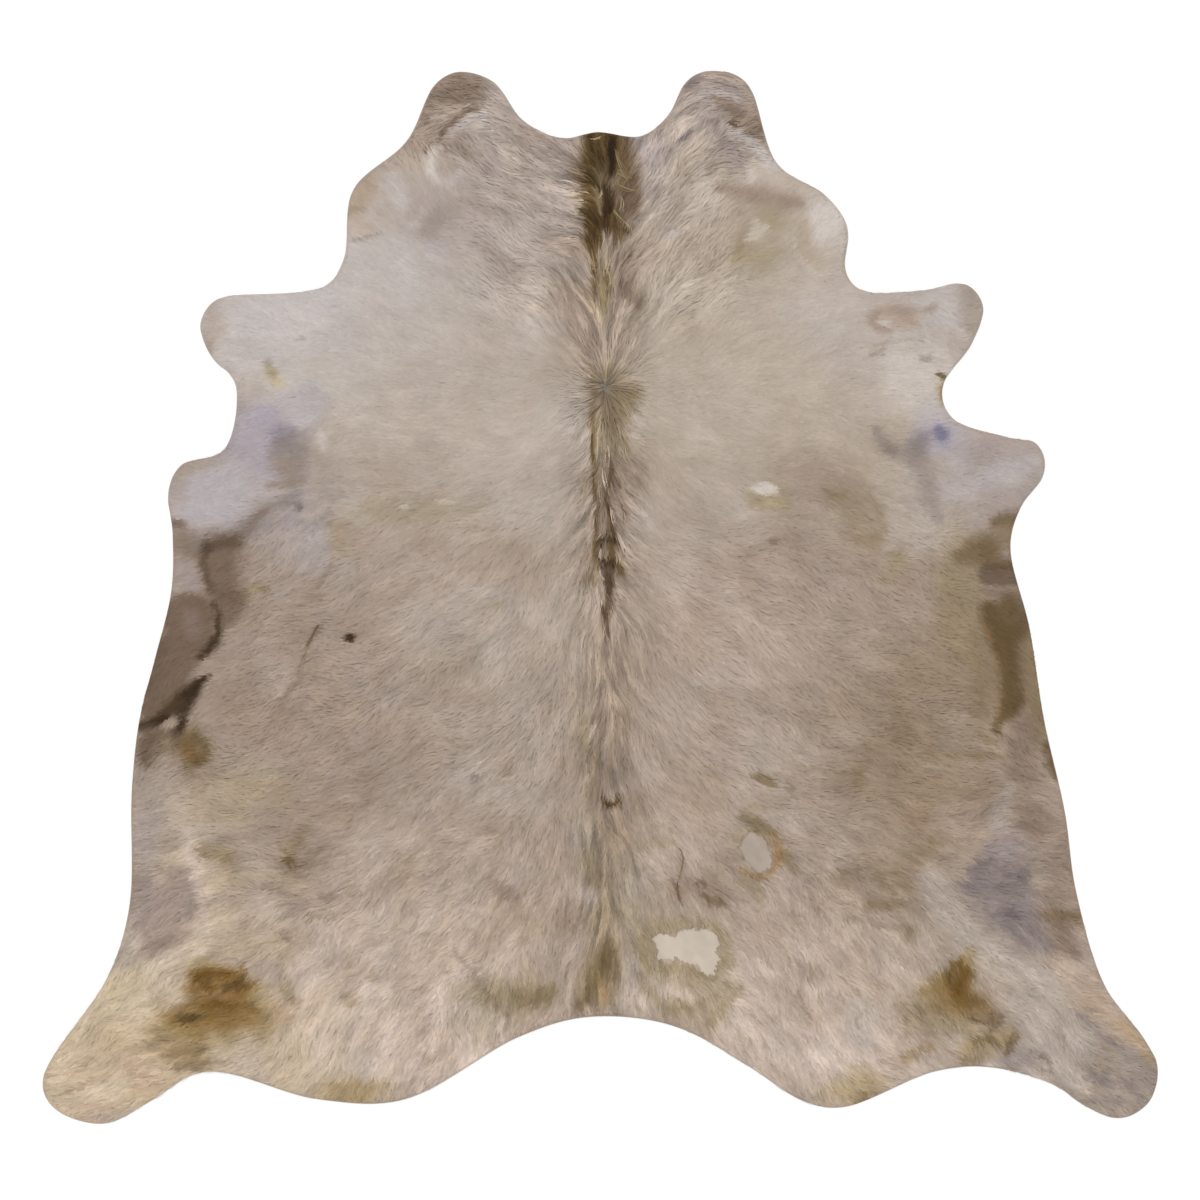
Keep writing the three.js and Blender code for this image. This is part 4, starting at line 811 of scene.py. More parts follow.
# ------------------------------------------------------------------- the outline
def cad_ring():
    """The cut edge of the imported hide, in order, as an (n, 2) array in metres."""
    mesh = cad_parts["hide"].data
    co = np.array([v.co[:] for v in mesh.vertices])
    low = co[:, 2] < co[:, 2].min() + 1e-5
    key = {}
    names = [key.setdefault((round(c[0], 5), round(c[1], 5)), len(key)) for c in co]
    spots = {names[i]: co[i, :2] for i in range(len(co)) if low[i]}
    after = {}
    for p in mesh.polygons:
        if abs(p.normal.z) > 0.5:
            continue
        floor_ends = [names[v] for v in p.vertices if low[v]]
        if len(floor_ends) == 2:
            a, b = floor_ends
            after.setdefault(a, []).append(b)
            after.setdefault(b, []).append(a)
    start = min(after)
    ring, before, now = [start], None, start
    while True:
        step = [n for n in after[now] if n != before][0]
        if step == start:
            break
        ring.append(step)
        before, now = now, step
    ring = np.array([spots[i] for i in ring])
    area = 0.5 * np.sum(ring[:, 0] * np.roll(ring[:, 1], -1) - np.roll(ring[:, 0], -1) * ring[:, 1])
    return ring if area > 0 else ring[::-1]


def rounded(ring, times):
    """A smooth closed line through the ring's points."""
    p0, p1, p2, p3 = np.roll(ring, 1, 0), ring, np.roll(ring, -1, 0), np.roll(ring, -2, 0)
    rows = []
    for k in range(times):
        t = k / times
        rows.append(0.5 * (2 * p1 + (p2 - p0) * t + (2 * p0 - 5 * p1 + 4 * p2 - p3) * t * t + (3 * p1 - p0 - 3 * p2 + p3) * t**3))
    return np.stack(rows, 1).reshape(-1, 2)


def moved_in(ring, distance):
    along = np.roll(ring, -1, 0) - np.roll(ring, 1, 0)
    along /= np.linalg.norm(along, axis=1, keepdims=True)
    return ring + np.stack([-along[:, 1], along[:, 0]], 1) * distance


RING = rounded(cad_ring(), 4)
AREA = 0.5 * float(np.sum(RING[:, 0] * np.roll(RING[:, 1], -1) - np.roll(RING[:, 0], -1) * RING[:, 1]))


def inside_depth():
    """How far inside the cut edge each cell lies, in units, negative outside it."""
    step = 3
    n = SPAN // step + 1
    rx, ry = RING[:, 0] / UNIT + MIDDLE[0], MIDDLE[1] - RING[:, 1] / UNIT
    gx, gy = np.meshgrid(np.arange(n) * step, np.arange(n) * step)
    near = np.full(gx.shape, 1e9, np.float32)
    for k in range(0, len(rx), 4):
        near = np.minimum(near, np.hypot(gx - rx[k], gy - ry[k]).astype(np.float32))
    hit = near < 60
    x, y = gx[hit].astype(np.float32), gy[hit].astype(np.float32)
    ax, ay, bx, by = rx, ry, np.roll(rx, -1), np.roll(ry, -1)
    best = np.full(len(x), 1e9, np.float32)
    for k in range(len(rx)):
        dx, dy = bx[k] - ax[k], by[k] - ay[k]
        t = np.clip(((x - ax[k]) * dx + (y - ay[k]) * dy) / max(dx * dx + dy * dy, 1e-9), 0, 1)
        best = np.minimum(best, np.hypot(x - ax[k] - t * dx, y - ay[k] - t * dy))
    near[hit] = best
    inside = np.zeros(gx.shape, bool)
    for k in range(len(rx)):
        y0, y1 = sorted((ay[k], by[k]))
        rows = np.flatnonzero((gy[:, 0] > y0) & (gy[:, 0] <= y1))
        for r in rows:
            cross = ax[k] + (gy[r, 0] - ay[k]) / (by[k] - ay[k]) * (bx[k] - ax[k])
            inside[r] ^= gx[r] < cross
    depth = np.where(inside, near, -near).astype(np.float32)
    at = np.arange(SPAN) / step
    i = at.astype(int)
    f = (at - i).astype(np.float32)
    rows = depth[i] * (1 - f)[:, None] + depth[np.minimum(i + 1, n - 1)] * f[:, None]
    return rows[:, i] * (1 - f)[None] + rows[:, np.minimum(i + 1, n - 1)] * f[None]


DEPTH = inside_depth()
INSIDE = DEPTH > -3
log("outline")


# -------------------------------------------------------------- the lie as a field
def lie_field():
    """Unit heading of the hair at each cell, as across and down parts."""
    step = 8
    n = SPAN // step + 1
    gx, gy = np.meshgrid(np.arange(n) * float(step), np.arange(n) * float(step))
    spine = np.interp(gy, [s[0] for s in SPINE], [s[1] for s in SPINE])

    def shepard(rows):
        u, v, w = (np.zeros(gx.shape) for _ in range(3))
        for across, down, heading in rows:
            weight = 1 / ((gx - across) ** 2 + (gy - down) ** 2 + 60) ** 1.6
            u += weight * math.cos(math.radians(heading))
            v -= weight * math.sin(math.radians(heading))
        length = np.hypot(u, v) + 1e-12
        return u / length, v / length

    lu, lv = shepard(LIE_LEFT + LIE_SPINE)
    ru, rv = shepard(LIE_RIGHT + LIE_SPINE)
    right = smoothstep((gx - spine) / 14 + 0.5)
    u, v = lu * (1 - right) + ru * right, lv * (1 - right) + rv * right
    # round the whorl the hair points away from it
    dx, dy = gx - WHORL[0], gy - WHORL[1]
    far = np.hypot(dx, dy) + 1e-6
    pull = 2.2 * np.exp(-((far / 30) ** 2))
    u, v = u + pull * dx / far, v + pull * dy / far

    def full(a):
        at = np.arange(SPAN) / step
        i = at.astype(int)
        f = (at - i).astype(np.float32)
        rows = a[i] * (1 - f)[:, None] + a[np.minimum(i + 1, n - 1)] * f[:, None]
        return rows[:, i] * (1 - f)[None] + rows[:, np.minimum(i + 1, n - 1)] * f[None]

    u, v = full(u), full(v)
    angle = np.arctan2(v, u)
    yy, xx = np.mgrid[0:SPAN, 0:SPAN]
    calm = np.exp(-(((xx - 605) / 90.0) ** 2))
    rough = roughness(xx, yy)
    wave = 0.20 * soft_noise(26, 11) + 0.14 * np.clip(rough - 0.4, 0, 1) * soft_noise(9, 12)
    angle = angle + wave * (1 - 0.45 * calm)
    return np.cos(angle).astype(np.float32), np.sin(angle).astype(np.float32)


LIE_U, LIE_V = lie_field()
log("lie")


def combed(fields, reach, step=1.4):
    """Each field drawn out along the lie of the hair, so that its grain runs with it."""
    rows, cols = np.nonzero(INSIDE)
    totals = [f[rows, cols].astype(np.float32) for f in fields]
    weight = 1.0
    steps = int(reach / step)
    for sign in (1.0, -1.0):
        x, y = cols.astype(np.float32), rows.astype(np.float32)
        for k in range(1, steps + 1):
            u, v = sample(LIE_U, x, y), sample(LIE_V, x, y)
            x, y = x + sign * step * u, y + sign * step * v
            w = math.exp(-((k / steps) ** 2) * 2)
            for i, f in enumerate(fields):
                totals[i] = totals[i] + w * sample(f, x, y)
            if sign > 0:
                weight += 2 * w
    out = []
    for t in totals:
        grid = np.zeros((SPAN, SPAN), np.float32)
        t = t / weight
        grid[rows, cols] = (t - t.mean()) / t.std()
        out.append(grid)
    return out


GRAIN, TUFT = combed([soft_noise(1.6, 21), soft_noise(5, 22)], 14)
FLECK, = combed([soft_noise(3.6, 23)], 5)
CLUMP, DRIFT = combed([soft_noise(13, 24), soft_noise(30, 25)], 12, 3.0)
STRAND, TRESS = combed([soft_noise(2.4, 26), soft_noise(5.0, 27)], 22)
log("grain")


# ---------------------------------------------------------------- colour fields
NUDGE_A = soft_noise(18, 31) * 3.2 + soft_noise(6, 32) * 1.6
NUDGE_D = soft_noise(18, 33) * 3.2 + soft_noise(6, 34) * 1.6
WARMTH = soft_noise(24, 35)
CLOUD = soft_noise(70, 36)


def lay(colour, across, down, rows, ragged):
    """The rows' colours laid over colour, in order. A big marking has a ragged edge, a small one a clean one."""
    na, nd = sample(NUDGE_A, across, down), sample(NUDGE_D, across, down)
    for _, cx, cy, rx, ry, turn, name, amount, soft in rows:
        reach = max(rx, ry) * (1 + soft / 2) + 16
        near = np.flatnonzero((np.abs(across - cx) < reach) & (np.abs(down - cy) < reach))
        if not len(near):
            continue
        rag = ragged * min(1.0, max(0.25, min(rx, ry) / 16))
        a = math.radians(turn)
        dx, dy = across[near] + rag * na[near] - cx, down[near] + rag * nd[near] - cy
        p, q = dx * math.cos(a) - dy * math.sin(a), dx * math.sin(a) + dy * math.cos(a)
        far = np.hypot(p / rx, q / ry)
        mask = amount * smoothstep((1 + soft / 2 - far) / soft)
        colour[near] += mask[:, None] * (np.array(COLOUR[name], np.float32) - colour[near])
    return colour


def stroke(colour, across, down, rows):
    """The same for the narrow markings."""
    na, nd = sample(NUDGE_A, across, down) * 0.22, sample(NUDGE_D, across, down) * 0.22
    for _, points, name, amount, soft in rows:
        ax, ay, aw = np.array(points, np.float32).T
        reach = aw.max() * (1 + soft / 2) + 3
        near = np.flatnonzero((across > ax.min() - reach) & (across < ax.max() + reach) & (down > ay.min() - reach) & (down < ay.max() + reach))
        if not len(near):
            continue
        x, y = across[near] + na[near], down[near] + nd[near]
        far = np.full(len(near), 9.0, np.float32)
        for k in range(len(points) - 1):
            dx, dy = ax[k + 1] - ax[k], ay[k + 1] - ay[k]
            t = np.clip(((x - ax[k]) * dx + (y - ay[k]) * dy) / (dx * dx + dy * dy), 0, 1)
            width = aw[k] + (aw[k + 1] - aw[k]) * t
            far = np.minimum(far, np.hypot(x - ax[k] - t * dx, y - ay[k] - t * dy) / width)
        mask = amount * smoothstep((1 + soft / 2 - far) / soft)
        colour[near] += mask[:, None] * (np.array(COLOUR[name], np.float32) - colour[near])
    return colour


def bare(across, down):
    """Least normalised distance to a bare patch: under 1 inside it."""
    best = np.full(np.shape(across), 9.0, np.float32)
    nx = across + 0.55 * sample(NUDGE_A, across, down)
    ny = down + 0.55 * sample(NUDGE_D, across, down)
    for _, cx, cy, rx, ry, turn in BARE:
        a = math.radians(turn)
        dx, dy = nx - cx, ny - cy
        p, q = dx * math.cos(a) - dy * math.sin(a), dx * math.sin(a) + dy * math.cos(a)
        best = np.minimum(best, np.hypot(p / rx, q / ry))
    return best


def coat_colour(across, down):
    """Colour of the coat's surface, red green blue out of 255, before the grain."""
    colour = np.empty((len(across), 3), np.float32)
    colour[:] = COLOUR["taupe"]
    colour = lay(colour, across, down, WASHES, 2.0)
    rough = roughness(across, down)
    warm = sample(WARMTH, across, down) * (0.5 + 0.7 * rough)
    cloud = 1.5 * sample(CLOUD, across, down) + (0.4 + rough) * (2.0 * sample(DRIFT, across, down) + 1.7 * sample(CLUMP, across, down))
    colour += warm[:, None] * np.array([0.45, 0.0, -0.45], np.float32) + cloud[:, None] * np.array([0.92, 0.98, 1.10], np.float32)
    return stroke(lay(colour, across, down, MARKS, 1.0), across, down, STROKES)


def fleck_amount(across, down):
    """How strongly short dark flecks show: little on the shoulders, most on the rump."""
    low = smoothstep((down - 560) / 380)
    side = 0.25 + 0.75 * smoothstep((across - 250) / 160) * smoothstep((980 - across) / 120)
    return 0.25 + 0.75 * low * side


def hair_colour(across, down, root_to_tip, each):
    """Colour of hair at a place; root_to_tip is 0 to 1 and each a number for the lock."""
    colour = coat_colour(across, down)
    rough = roughness(across, down)
    grain = rough * (0.013 * sample(GRAIN, across, down) + 0.018 * sample(TUFT, across, down))
    fleck = np.clip(sample(FLECK, across, down) - 1.05, 0, 1.2) * fleck_amount(across, down)
    spine = np.interp(down, [s[0] for s in SPINE], [s[1] for s in SPINE])
    long = np.exp(-(((across - spine) / 34) ** 2)) * (1 - 0.55 * np.exp(-(((down - 388) / 26) ** 2)))
    high = smoothstep((380 - down) / 80)
    wide = np.exp(-(((across - spine) / 95) ** 2)) * high
    grain += (0.085 * long + 0.030 * wide) * sample(STRAND, across, down) + 0.034 * (wide + 0.6 * smoothstep((185 - down) / 50)) * sample(TRESS, across, down)
    tone = 1 + grain + (0.006 + 0.011 * rough) * each - 0.07 * fleck
    # The second factor paints sleek places up to 4.5 % darker: painted shade in place of the shadows that their
    # flatter, even locks no longer cast.
    tone *= (0.966 + 0.04 * root_to_tip) * (1 - 0.075 * np.clip(1.1 - rough, 0, 0.6))
    tone *= 1 - 0.012 * smoothstep((down - 640) / 60) - 0.02 * smoothstep((down - 790) / 70) + 0.018 * smoothstep((down - 890) / 100)
    colour = colour * tone[:, None]
    colour[:, 2] -= 5.0 * fleck
    return np.clip(colour, 8, 250)


def linear(srgb):
    c = srgb / 255.0
    return np.where(c <= 0.04045, c / 12.92, ((c + 0.055) / 1.055) ** 2.4)


LIGHT = 1.08    # how bright a white card lies in this light
SHADE = 0.915   # what the locks' own shadows leave of it


GLOSS = 0.012   # what the hair's shine adds


CAST = np.array([0.994, 1.0, 1.016], np.float32)     # takes out the warmth that lock lends to lock


def albedo(srgb):
    return np.clip((linear(srgb) - GLOSS) / (LIGHT * SHADE) * CAST, 0.003, 0.9)


# --------------------------------------------------------------------- relief
RELIEF = soft_noise(44, 41) * 0.35 + soft_noise(16, 42) * 0.2


def relief(across, down):
    """Small unevenness of the coat's surface, in millimetres."""
    z = sample(RELIEF, across, down)
    wrinkle = np.sin((across * 0.35 - down * 0.75) * 0.33 + sample(NUDGE_A, across, down) * 0.5)
    leg = np.exp(-(((across - 1095) / 45.0) ** 2 + ((down - 1070) / 38.0) ** 2))
    return np.clip(z + 1.1 * wrinkle * leg, -0.8, 2.2)


def pile_height(across, down):
    """Height of the lying hair over the skin, in millimetres."""
    spine = np.interp(down, [s[0] for s in SPINE], [s[1] for s in SPINE])
    off = np.abs(across - spine)
    tall = 3.4 * np.exp(-((off / 20) ** 2)) * (0.45 + 0.55 * smoothstep((700 - down) / 300))
    fine = 1.1 * smoothstep((320 - across) / 80) * smoothstep((560 - down) / 60)
    fine = fine + 1.1 * smoothstep((across - 860) / 80) * smoothstep((560 - down) / 60)
    return 3.4 + tall - fine


def hair_length(across, down):
    """Length of the hair that shows, in units."""
    spine = np.interp(down, [s[0] for s in SPINE], [s[1] for s in SPINE])
    off = np.abs(across - spine)
    length = 13.5 + 7.0 * np.exp(-((off / 26) ** 2)) + 2.5 * np.exp(-((off / 110) ** 2))
    fine = smoothstep((330 - across) / 90) * smoothstep((570 - down) / 70)
    fine = fine + smoothstep((across - 850) / 90) * smoothstep((570 - down) / 70)
    return length - 3.5 * fine + 1.5 * smoothstep((down - 640) / 200) * smoothstep((off - 150) / 100)


# ------------------------------------------------------------------ mesh helpers
def mesh_from(name, points, faces, loops_per_face):
    """A mesh from arrays: faces all have loops_per_face corners."""
    me = bpy.data.meshes.new(name)
    me.vertices.add(len(points))
    me.vertices.foreach_set("co", np.ascontiguousarray(points, np.float32).ravel())
    me.loops.add(faces.size)
    me.loops.foreach_set("vertex_index", np.ascontiguousarray(faces, np.int32).ravel())
    me.polygons.add(len(faces))
    me.polygons.foreach_set("loop_start", np.arange(0, faces.size, loops_per_face, dtype=np.int32))
    me.polygons.foreach_set("loop_total", np.full(len(faces), loops_per_face, np.int32))
    me.update(calc_edges=True)
    return me


def add_colour(me, name, rgb):
    layer = me.color_attributes.new(name=name, type="FLOAT_COLOR", domain="POINT")
    rgba = np.ones((len(rgb), 4), np.float32)
    rgba[:, :3] = rgb
    layer.data.foreach_set("color", rgba.ravel())


def add_piece(name, me, material):
    ob = bpy.data.objects.new(name, me)
    bpy.context.scene.collection.objects.link(ob)
    me.materials.append(material)
    return ob


# -------------------------------------------------------------------- materials
def nodes_of(material):
    material.use_nodes = True
    tree = material.node_tree
    return tree, tree.nodes, tree.links, tree.nodes["Principled BSDF"]


def hair_material(name, roughness):
    """Fine strands along each lock: the coat's own colour, with streaks across the lock and a paler, drier tip."""
    m = bpy.data.materials.new(name)
    tree, nodes, links, bsdf = nodes_of(m)
    coat = nodes.new("ShaderNodeAttribute")
    coat.attribute_name = "coat"
    strand = nodes.new("ShaderNodeUVMap")
    strand.uv_map = "Strand"
    stretch = nodes.new("ShaderNodeMapping")
    stretch.inputs["Scale"].default_value = (1.0, 0.11, 1.0)
    streak = nodes.new("ShaderNodeTexNoise")
    streak.inputs["Scale"].default_value = 7.0
    streak.inputs["Detail"].default_value = 3.0
    tone = nodes.new("ShaderNodeMapRange")
    tone.inputs["From Min"].default_value = 0.28
    tone.inputs["From Max"].default_value = 0.72
    tone.inputs["To Min"].default_value = 0.935
    tone.inputs["To Max"].default_value = 1.06
    mix = nodes.new("ShaderNodeMix")
    mix.data_type = "RGBA"
    mix.blend_type = "MULTIPLY"
    mix.inputs["Factor"].default_value = 1.0
    links.new(strand.outputs["UV"], stretch.inputs["Vector"])
    links.new(stretch.outputs["Vector"], streak.inputs["Vector"])
    links.new(streak.outputs["Fac"], tone.inputs["Value"])
    links.new(coat.outputs["Color"], mix.inputs["A"])
    links.new(tone.outputs["Result"], mix.inputs["B"])
    links.new(mix.outputs["Result"], bsdf.inputs["Base Color"])
    bsdf.inputs["Roughness"].default_value = roughness
    bsdf.inputs["Specular IOR Level"].default_value = 0.15
    return m


def skin_material():
    """The hair side of the tanned skin: pores and a soft mottle in matt leather."""
    m = bpy.data.materials.new("hide_grain")
    tree, nodes, links, bsdf = nodes_of(m)
    coat = nodes.new("ShaderNodeAttribute")
    coat.attribute_name = "coat"
    where = nodes.new("ShaderNodeTexCoord")
    mottle = nodes.new("ShaderNodeTexNoise")
    mottle.inputs["Scale"].default_value = 60.0
    mottle.inputs["Detail"].default_value = 5.0
    tone = nodes.new("ShaderNodeMapRange")
    tone.inputs["To Min"].default_value = 0.93
    tone.inputs["To Max"].default_value = 1.07
    mix = nodes.new("ShaderNodeMix")
    mix.data_type = "RGBA"
    mix.blend_type = "MULTIPLY"
    mix.inputs["Factor"].default_value = 1.0
    pores = nodes.new("ShaderNodeTexVoronoi")
    pores.inputs["Scale"].default_value = 420.0
    bump = nodes.new("ShaderNodeBump")
    bump.inputs["Strength"].default_value = 0.25
    bump.inputs["Distance"].default_value = 0.0006
    links.new(where.outputs["Object"], mottle.inputs["Vector"])
    links.new(where.outputs["Object"], pores.inputs["Vector"])
    links.new(mottle.outputs["Fac"], tone.inputs["Value"])
    links.new(coat.outputs["Color"], mix.inputs["A"])
    links.new(tone.outputs["Result"], mix.inputs["B"])
    links.new(mix.outputs["Result"], bsdf.inputs["Base Color"])
    links.new(pores.outputs["Distance"], bump.inputs["Height"])
    links.new(bump.outputs["Normal"], bsdf.inputs["Normal"])
    bsdf.inputs["Roughness"].default_value = 0.62
    bsdf.inputs["Specular IOR Level"].default_value = 0.3
    return m


def flesh_material():
    """The flesh side and the cut edge: pale brushed suede."""
    m = bpy.data.materials.new("hide_suede")
    tree, nodes, links, bsdf = nodes_of(m)
    where = nodes.new("ShaderNodeTexCoord")
    cloud = nodes.new("ShaderNodeTexNoise")
    cloud.inputs["Scale"].default_value = 5.0
    cloud.inputs["Detail"].default_value = 6.0
    ramp = nodes.new("ShaderNodeValToRGB")
    ramp.color_ramp.elements[0].position = 0.3
    ramp.color_ramp.elements[0].color = (0.42, 0.35, 0.27, 1)
    ramp.color_ramp.elements[1].position = 0.7
    ramp.color_ramp.elements[1].color = (0.60, 0.53, 0.44, 1)
    nap = nodes.new("ShaderNodeTexNoise")
    nap.inputs["Scale"].default_value = 900.0
    nap.inputs["Detail"].default_value = 3.0
    bump = nodes.new("ShaderNodeBump")
    bump.inputs["Strength"].default_value = 0.5
    bump.inputs["Distance"].default_value = 0.0008
    links.new(where.outputs["Object"], cloud.inputs["Vector"])
    links.new(where.outputs["Object"], nap.inputs["Vector"])
    links.new(cloud.outputs["Fac"], ramp.inputs["Fac"])
    links.new(ramp.outputs["Color"], bsdf.inputs["Base Color"])
    links.new(nap.outputs["Fac"], bump.inputs["Height"])
    links.new(bump.outputs["Normal"], bsdf.inputs["Normal"])
    bsdf.inputs["Roughness"].default_value = 0.95
    bsdf.inputs["Sheen Weight"].default_value = 0.3
    return m


# -------------------------------------------------------------------- the skin
def filled(ring, step, seed):
    """Triangles over the inside of a closed ring, with points about `step` apart inside it. The ring's points come first."""
    low, high = ring.min(0), ring.max(0)
    ys = np.arange(low[1], high[1], step * 0.866)
    rows = []
    for i, y in enumerate(ys):
        xs = np.arange(low[0] + (i % 2) * step / 2, high[0], step)
        rows.append(np.stack([xs, np.full(len(xs), y)], 1))
    spots = np.concatenate(rows)
    spots += np.random.default_rng(seed).uniform(-0.18, 0.18, spots.shape) * step
    deep = sample(DEPTH, spots[:, 0] / UNIT + MIDDLE[0], MIDDLE[1] - spots[:, 1] / UNIT) * UNIT
    spots = spots[deep > step * 0.62 + 0.001]
    points = np.concatenate([ring, spots])
    n = len(ring)
    out = delaunay_2d_cdt([Vector(p) for p in points], [], [list(range(n))], 1, 1e-7, True)
    if len(out[0]) != len(points):
        raise ValueError("the skin's points ran together")
    first = np.array([ids[0] for ids in out[3]])
    return points, first[np.array([f for f, of in zip(out[2], out[5]) if len(of)])]


def make_skin():
    n = len(RING)
    top_ring = moved_in(RING, EDGE_ROUND)
    top, top_faces = filled(top_ring, SKIN_STEP, 51)
    low, low_faces = filled(moved_in(RING, EDGE_ROUND), FLESH_STEP, 52)
    xa, xd = top[:, 0] / UNIT + MIDDLE[0], MIDDLE[1] - top[:, 1] / UNIT
    z = np.full(len(top), SKIN_TOP)
    z[n:] += np.clip(sample(RELIEF, xa[n:], xd[n:]), -1, 1) * 0.0003
    points = [np.column_stack([top, z]), np.column_stack([RING, np.full(n, SKIN_TOP - EDGE_ROUND)]),
              np.column_stack([RING, np.full(n, EDGE_ROUND)]), np.column_stack([low, np.zeros(len(low))])]
    offset = np.cumsum([0] + [len(p) for p in points])
    faces = [top_faces, low_faces[:, ::-1] + offset[3]]
    i, j = np.arange(n), (np.arange(n) + 1) % n
    for a, b in ((offset[1], 0), (offset[2], offset[1]), (offset[3], offset[2])):
        faces.append(np.column_stack([a + i, a + j, b + j]))
        faces.append(np.column_stack([a + i, b + j, b + i]))
    counts = [len(f) for f in faces]
    points, faces = np.concatenate(points), np.concatenate(faces)
    me = mesh_from("hide_skin", points, faces, 3)
    xa, xd = points[:, 0] / UNIT + MIDDLE[0], MIDDLE[1] - points[:, 1] / UNIT
    # The skin's hair side takes the coat's colour, 3 % darker: painted shade for the depth where it shows between the
    # hairs.
    under = coat_colour(xa, xd) * 0.97
    scar = np.array(COLOUR["scar cream"], np.float32)
    grey = np.array(COLOUR["scar grey"], np.float32)
    far = bare(xa, xd)
    for_grey = np.hypot(xa - 757, xd - 853) < 60
    skin = np.where(for_grey[:, None], grey, scar) * (1 + 0.02 * sample(TUFT, xa, xd))[:, None]
    near = smoothstep((2.4 - far) / 0.8)[:, None]
    add_colour(me, "coat", np.clip(linear(under * (1 - near) + skin * near) / LIGHT, 0.002, 0.95))
    ob = add_piece("hide_skin", me, skin_material())
    me.materials.append(flesh_material())
    slot = np.zeros(len(faces), np.int32)
    slot[counts[0]:] = 1
    me.polygons.foreach_set("material_index", slot)
    me.polygons.foreach_set("use_smooth", np.ones(len(faces), bool))
    me.update()
    return ob


# -------------------------------------------------------------------- the locks
def blades(paths, heights, widths, rolls):
    """Tapered strips along paths: (n, k, 2) places, (n, k) heights in mm, (n, k-1) half widths, (n,) rolls.
    The last point of a path is the strip's tip. Returns points (n, 2k-1, 3) and one strip's triangles."""
    n, k, _ = paths.shape
    along = np.empty((n, k, 2), np.float32)
    along[:, 1:-1] = paths[:, 2:] - paths[:, :-2]
    along[:, 0] = paths[:, 1] - paths[:, 0]
    along[:, -1] = paths[:, -1] - paths[:, -2]
    along /= np.linalg.norm(along, axis=2, keepdims=True) + 1e-9
    side = np.stack([-along[..., 1], along[..., 0]], -1)[:, :-1]
    flat = widths[..., None] * np.cos(rolls)[:, None, None] * side
    rise = widths * np.sin(rolls)[:, None] * (UNIT * 1000)
    centre = paths[:, :-1]
    a, b = centre + flat, centre - flat
    za, zb = heights[:, :-1] + rise, heights[:, :-1] - rise
    out = np.empty((n, 2 * k - 1, 3), np.float32)
    for m, (p, z) in ((0, (a, za)), (1, (b, zb))):
        out[:, m : 2 * k - 2 : 2, 0] = (p[..., 0] - MIDDLE[0]) * UNIT
        out[:, m : 2 * k - 2 : 2, 1] = (MIDDLE[1] - p[..., 1]) * UNIT
        out[:, m : 2 * k - 2 : 2, 2] = np.maximum(z, 0.4) * 0.001
    out[:, -1, 0] = (paths[:, -1, 0] - MIDDLE[0]) * UNIT
    out[:, -1, 1] = (MIDDLE[1] - paths[:, -1, 1]) * UNIT
    out[:, -1, 2] = heights[:, -1] * 0.001
    tris = []
    for s in range(k - 2):
        q = 2 * s
        tris += [(q, q + 2, q + 1), (q + 1, q + 2, q + 3)]
    q = 2 * (k - 2)
    tris.append((q, q + 2, q + 1))
    return out, np.array(tris, np.int32)


def strand_maps(me, n, k, cell_low, cell_size, seed):
    """Two maps: OFBake, where each lock has a small square of its own near its place, and Strand, across and along the lock."""
    r = np.random.default_rng(seed)
    along = np.repeat(np.linspace(0, 1, k)[:-1], 2)
    along = np.append(along, 1.0)
    across = np.append(np.tile([0.0, 1.0], k - 1), 0.5)
    corner = np.empty(len(me.loops), np.int32)
    me.loops.foreach_get("vertex_index", corner)
    lock, at = corner // (2 * k - 1), corner % (2 * k - 1)
    own = me.uv_layers.new(name="OFBake")
    uv = np.stack([cell_low[lock, 0] + (0.14 + 0.72 * across[at]) * cell_size,
                   cell_low[lock, 1] + (0.14 + 0.72 * along[at]) * cell_size], 1)
    own.uv.foreach_set("vector", uv.astype(np.float32).ravel())
    strand = me.uv_layers.new(name="Strand")
    shift = r.uniform(0, 40, (n, 2))
    uv = np.stack([shift[lock, 0] + across[at], shift[lock, 1] + along[at] * 1.0], 1)
    strand.uv.foreach_set("vector", uv.astype(np.float32).ravel())


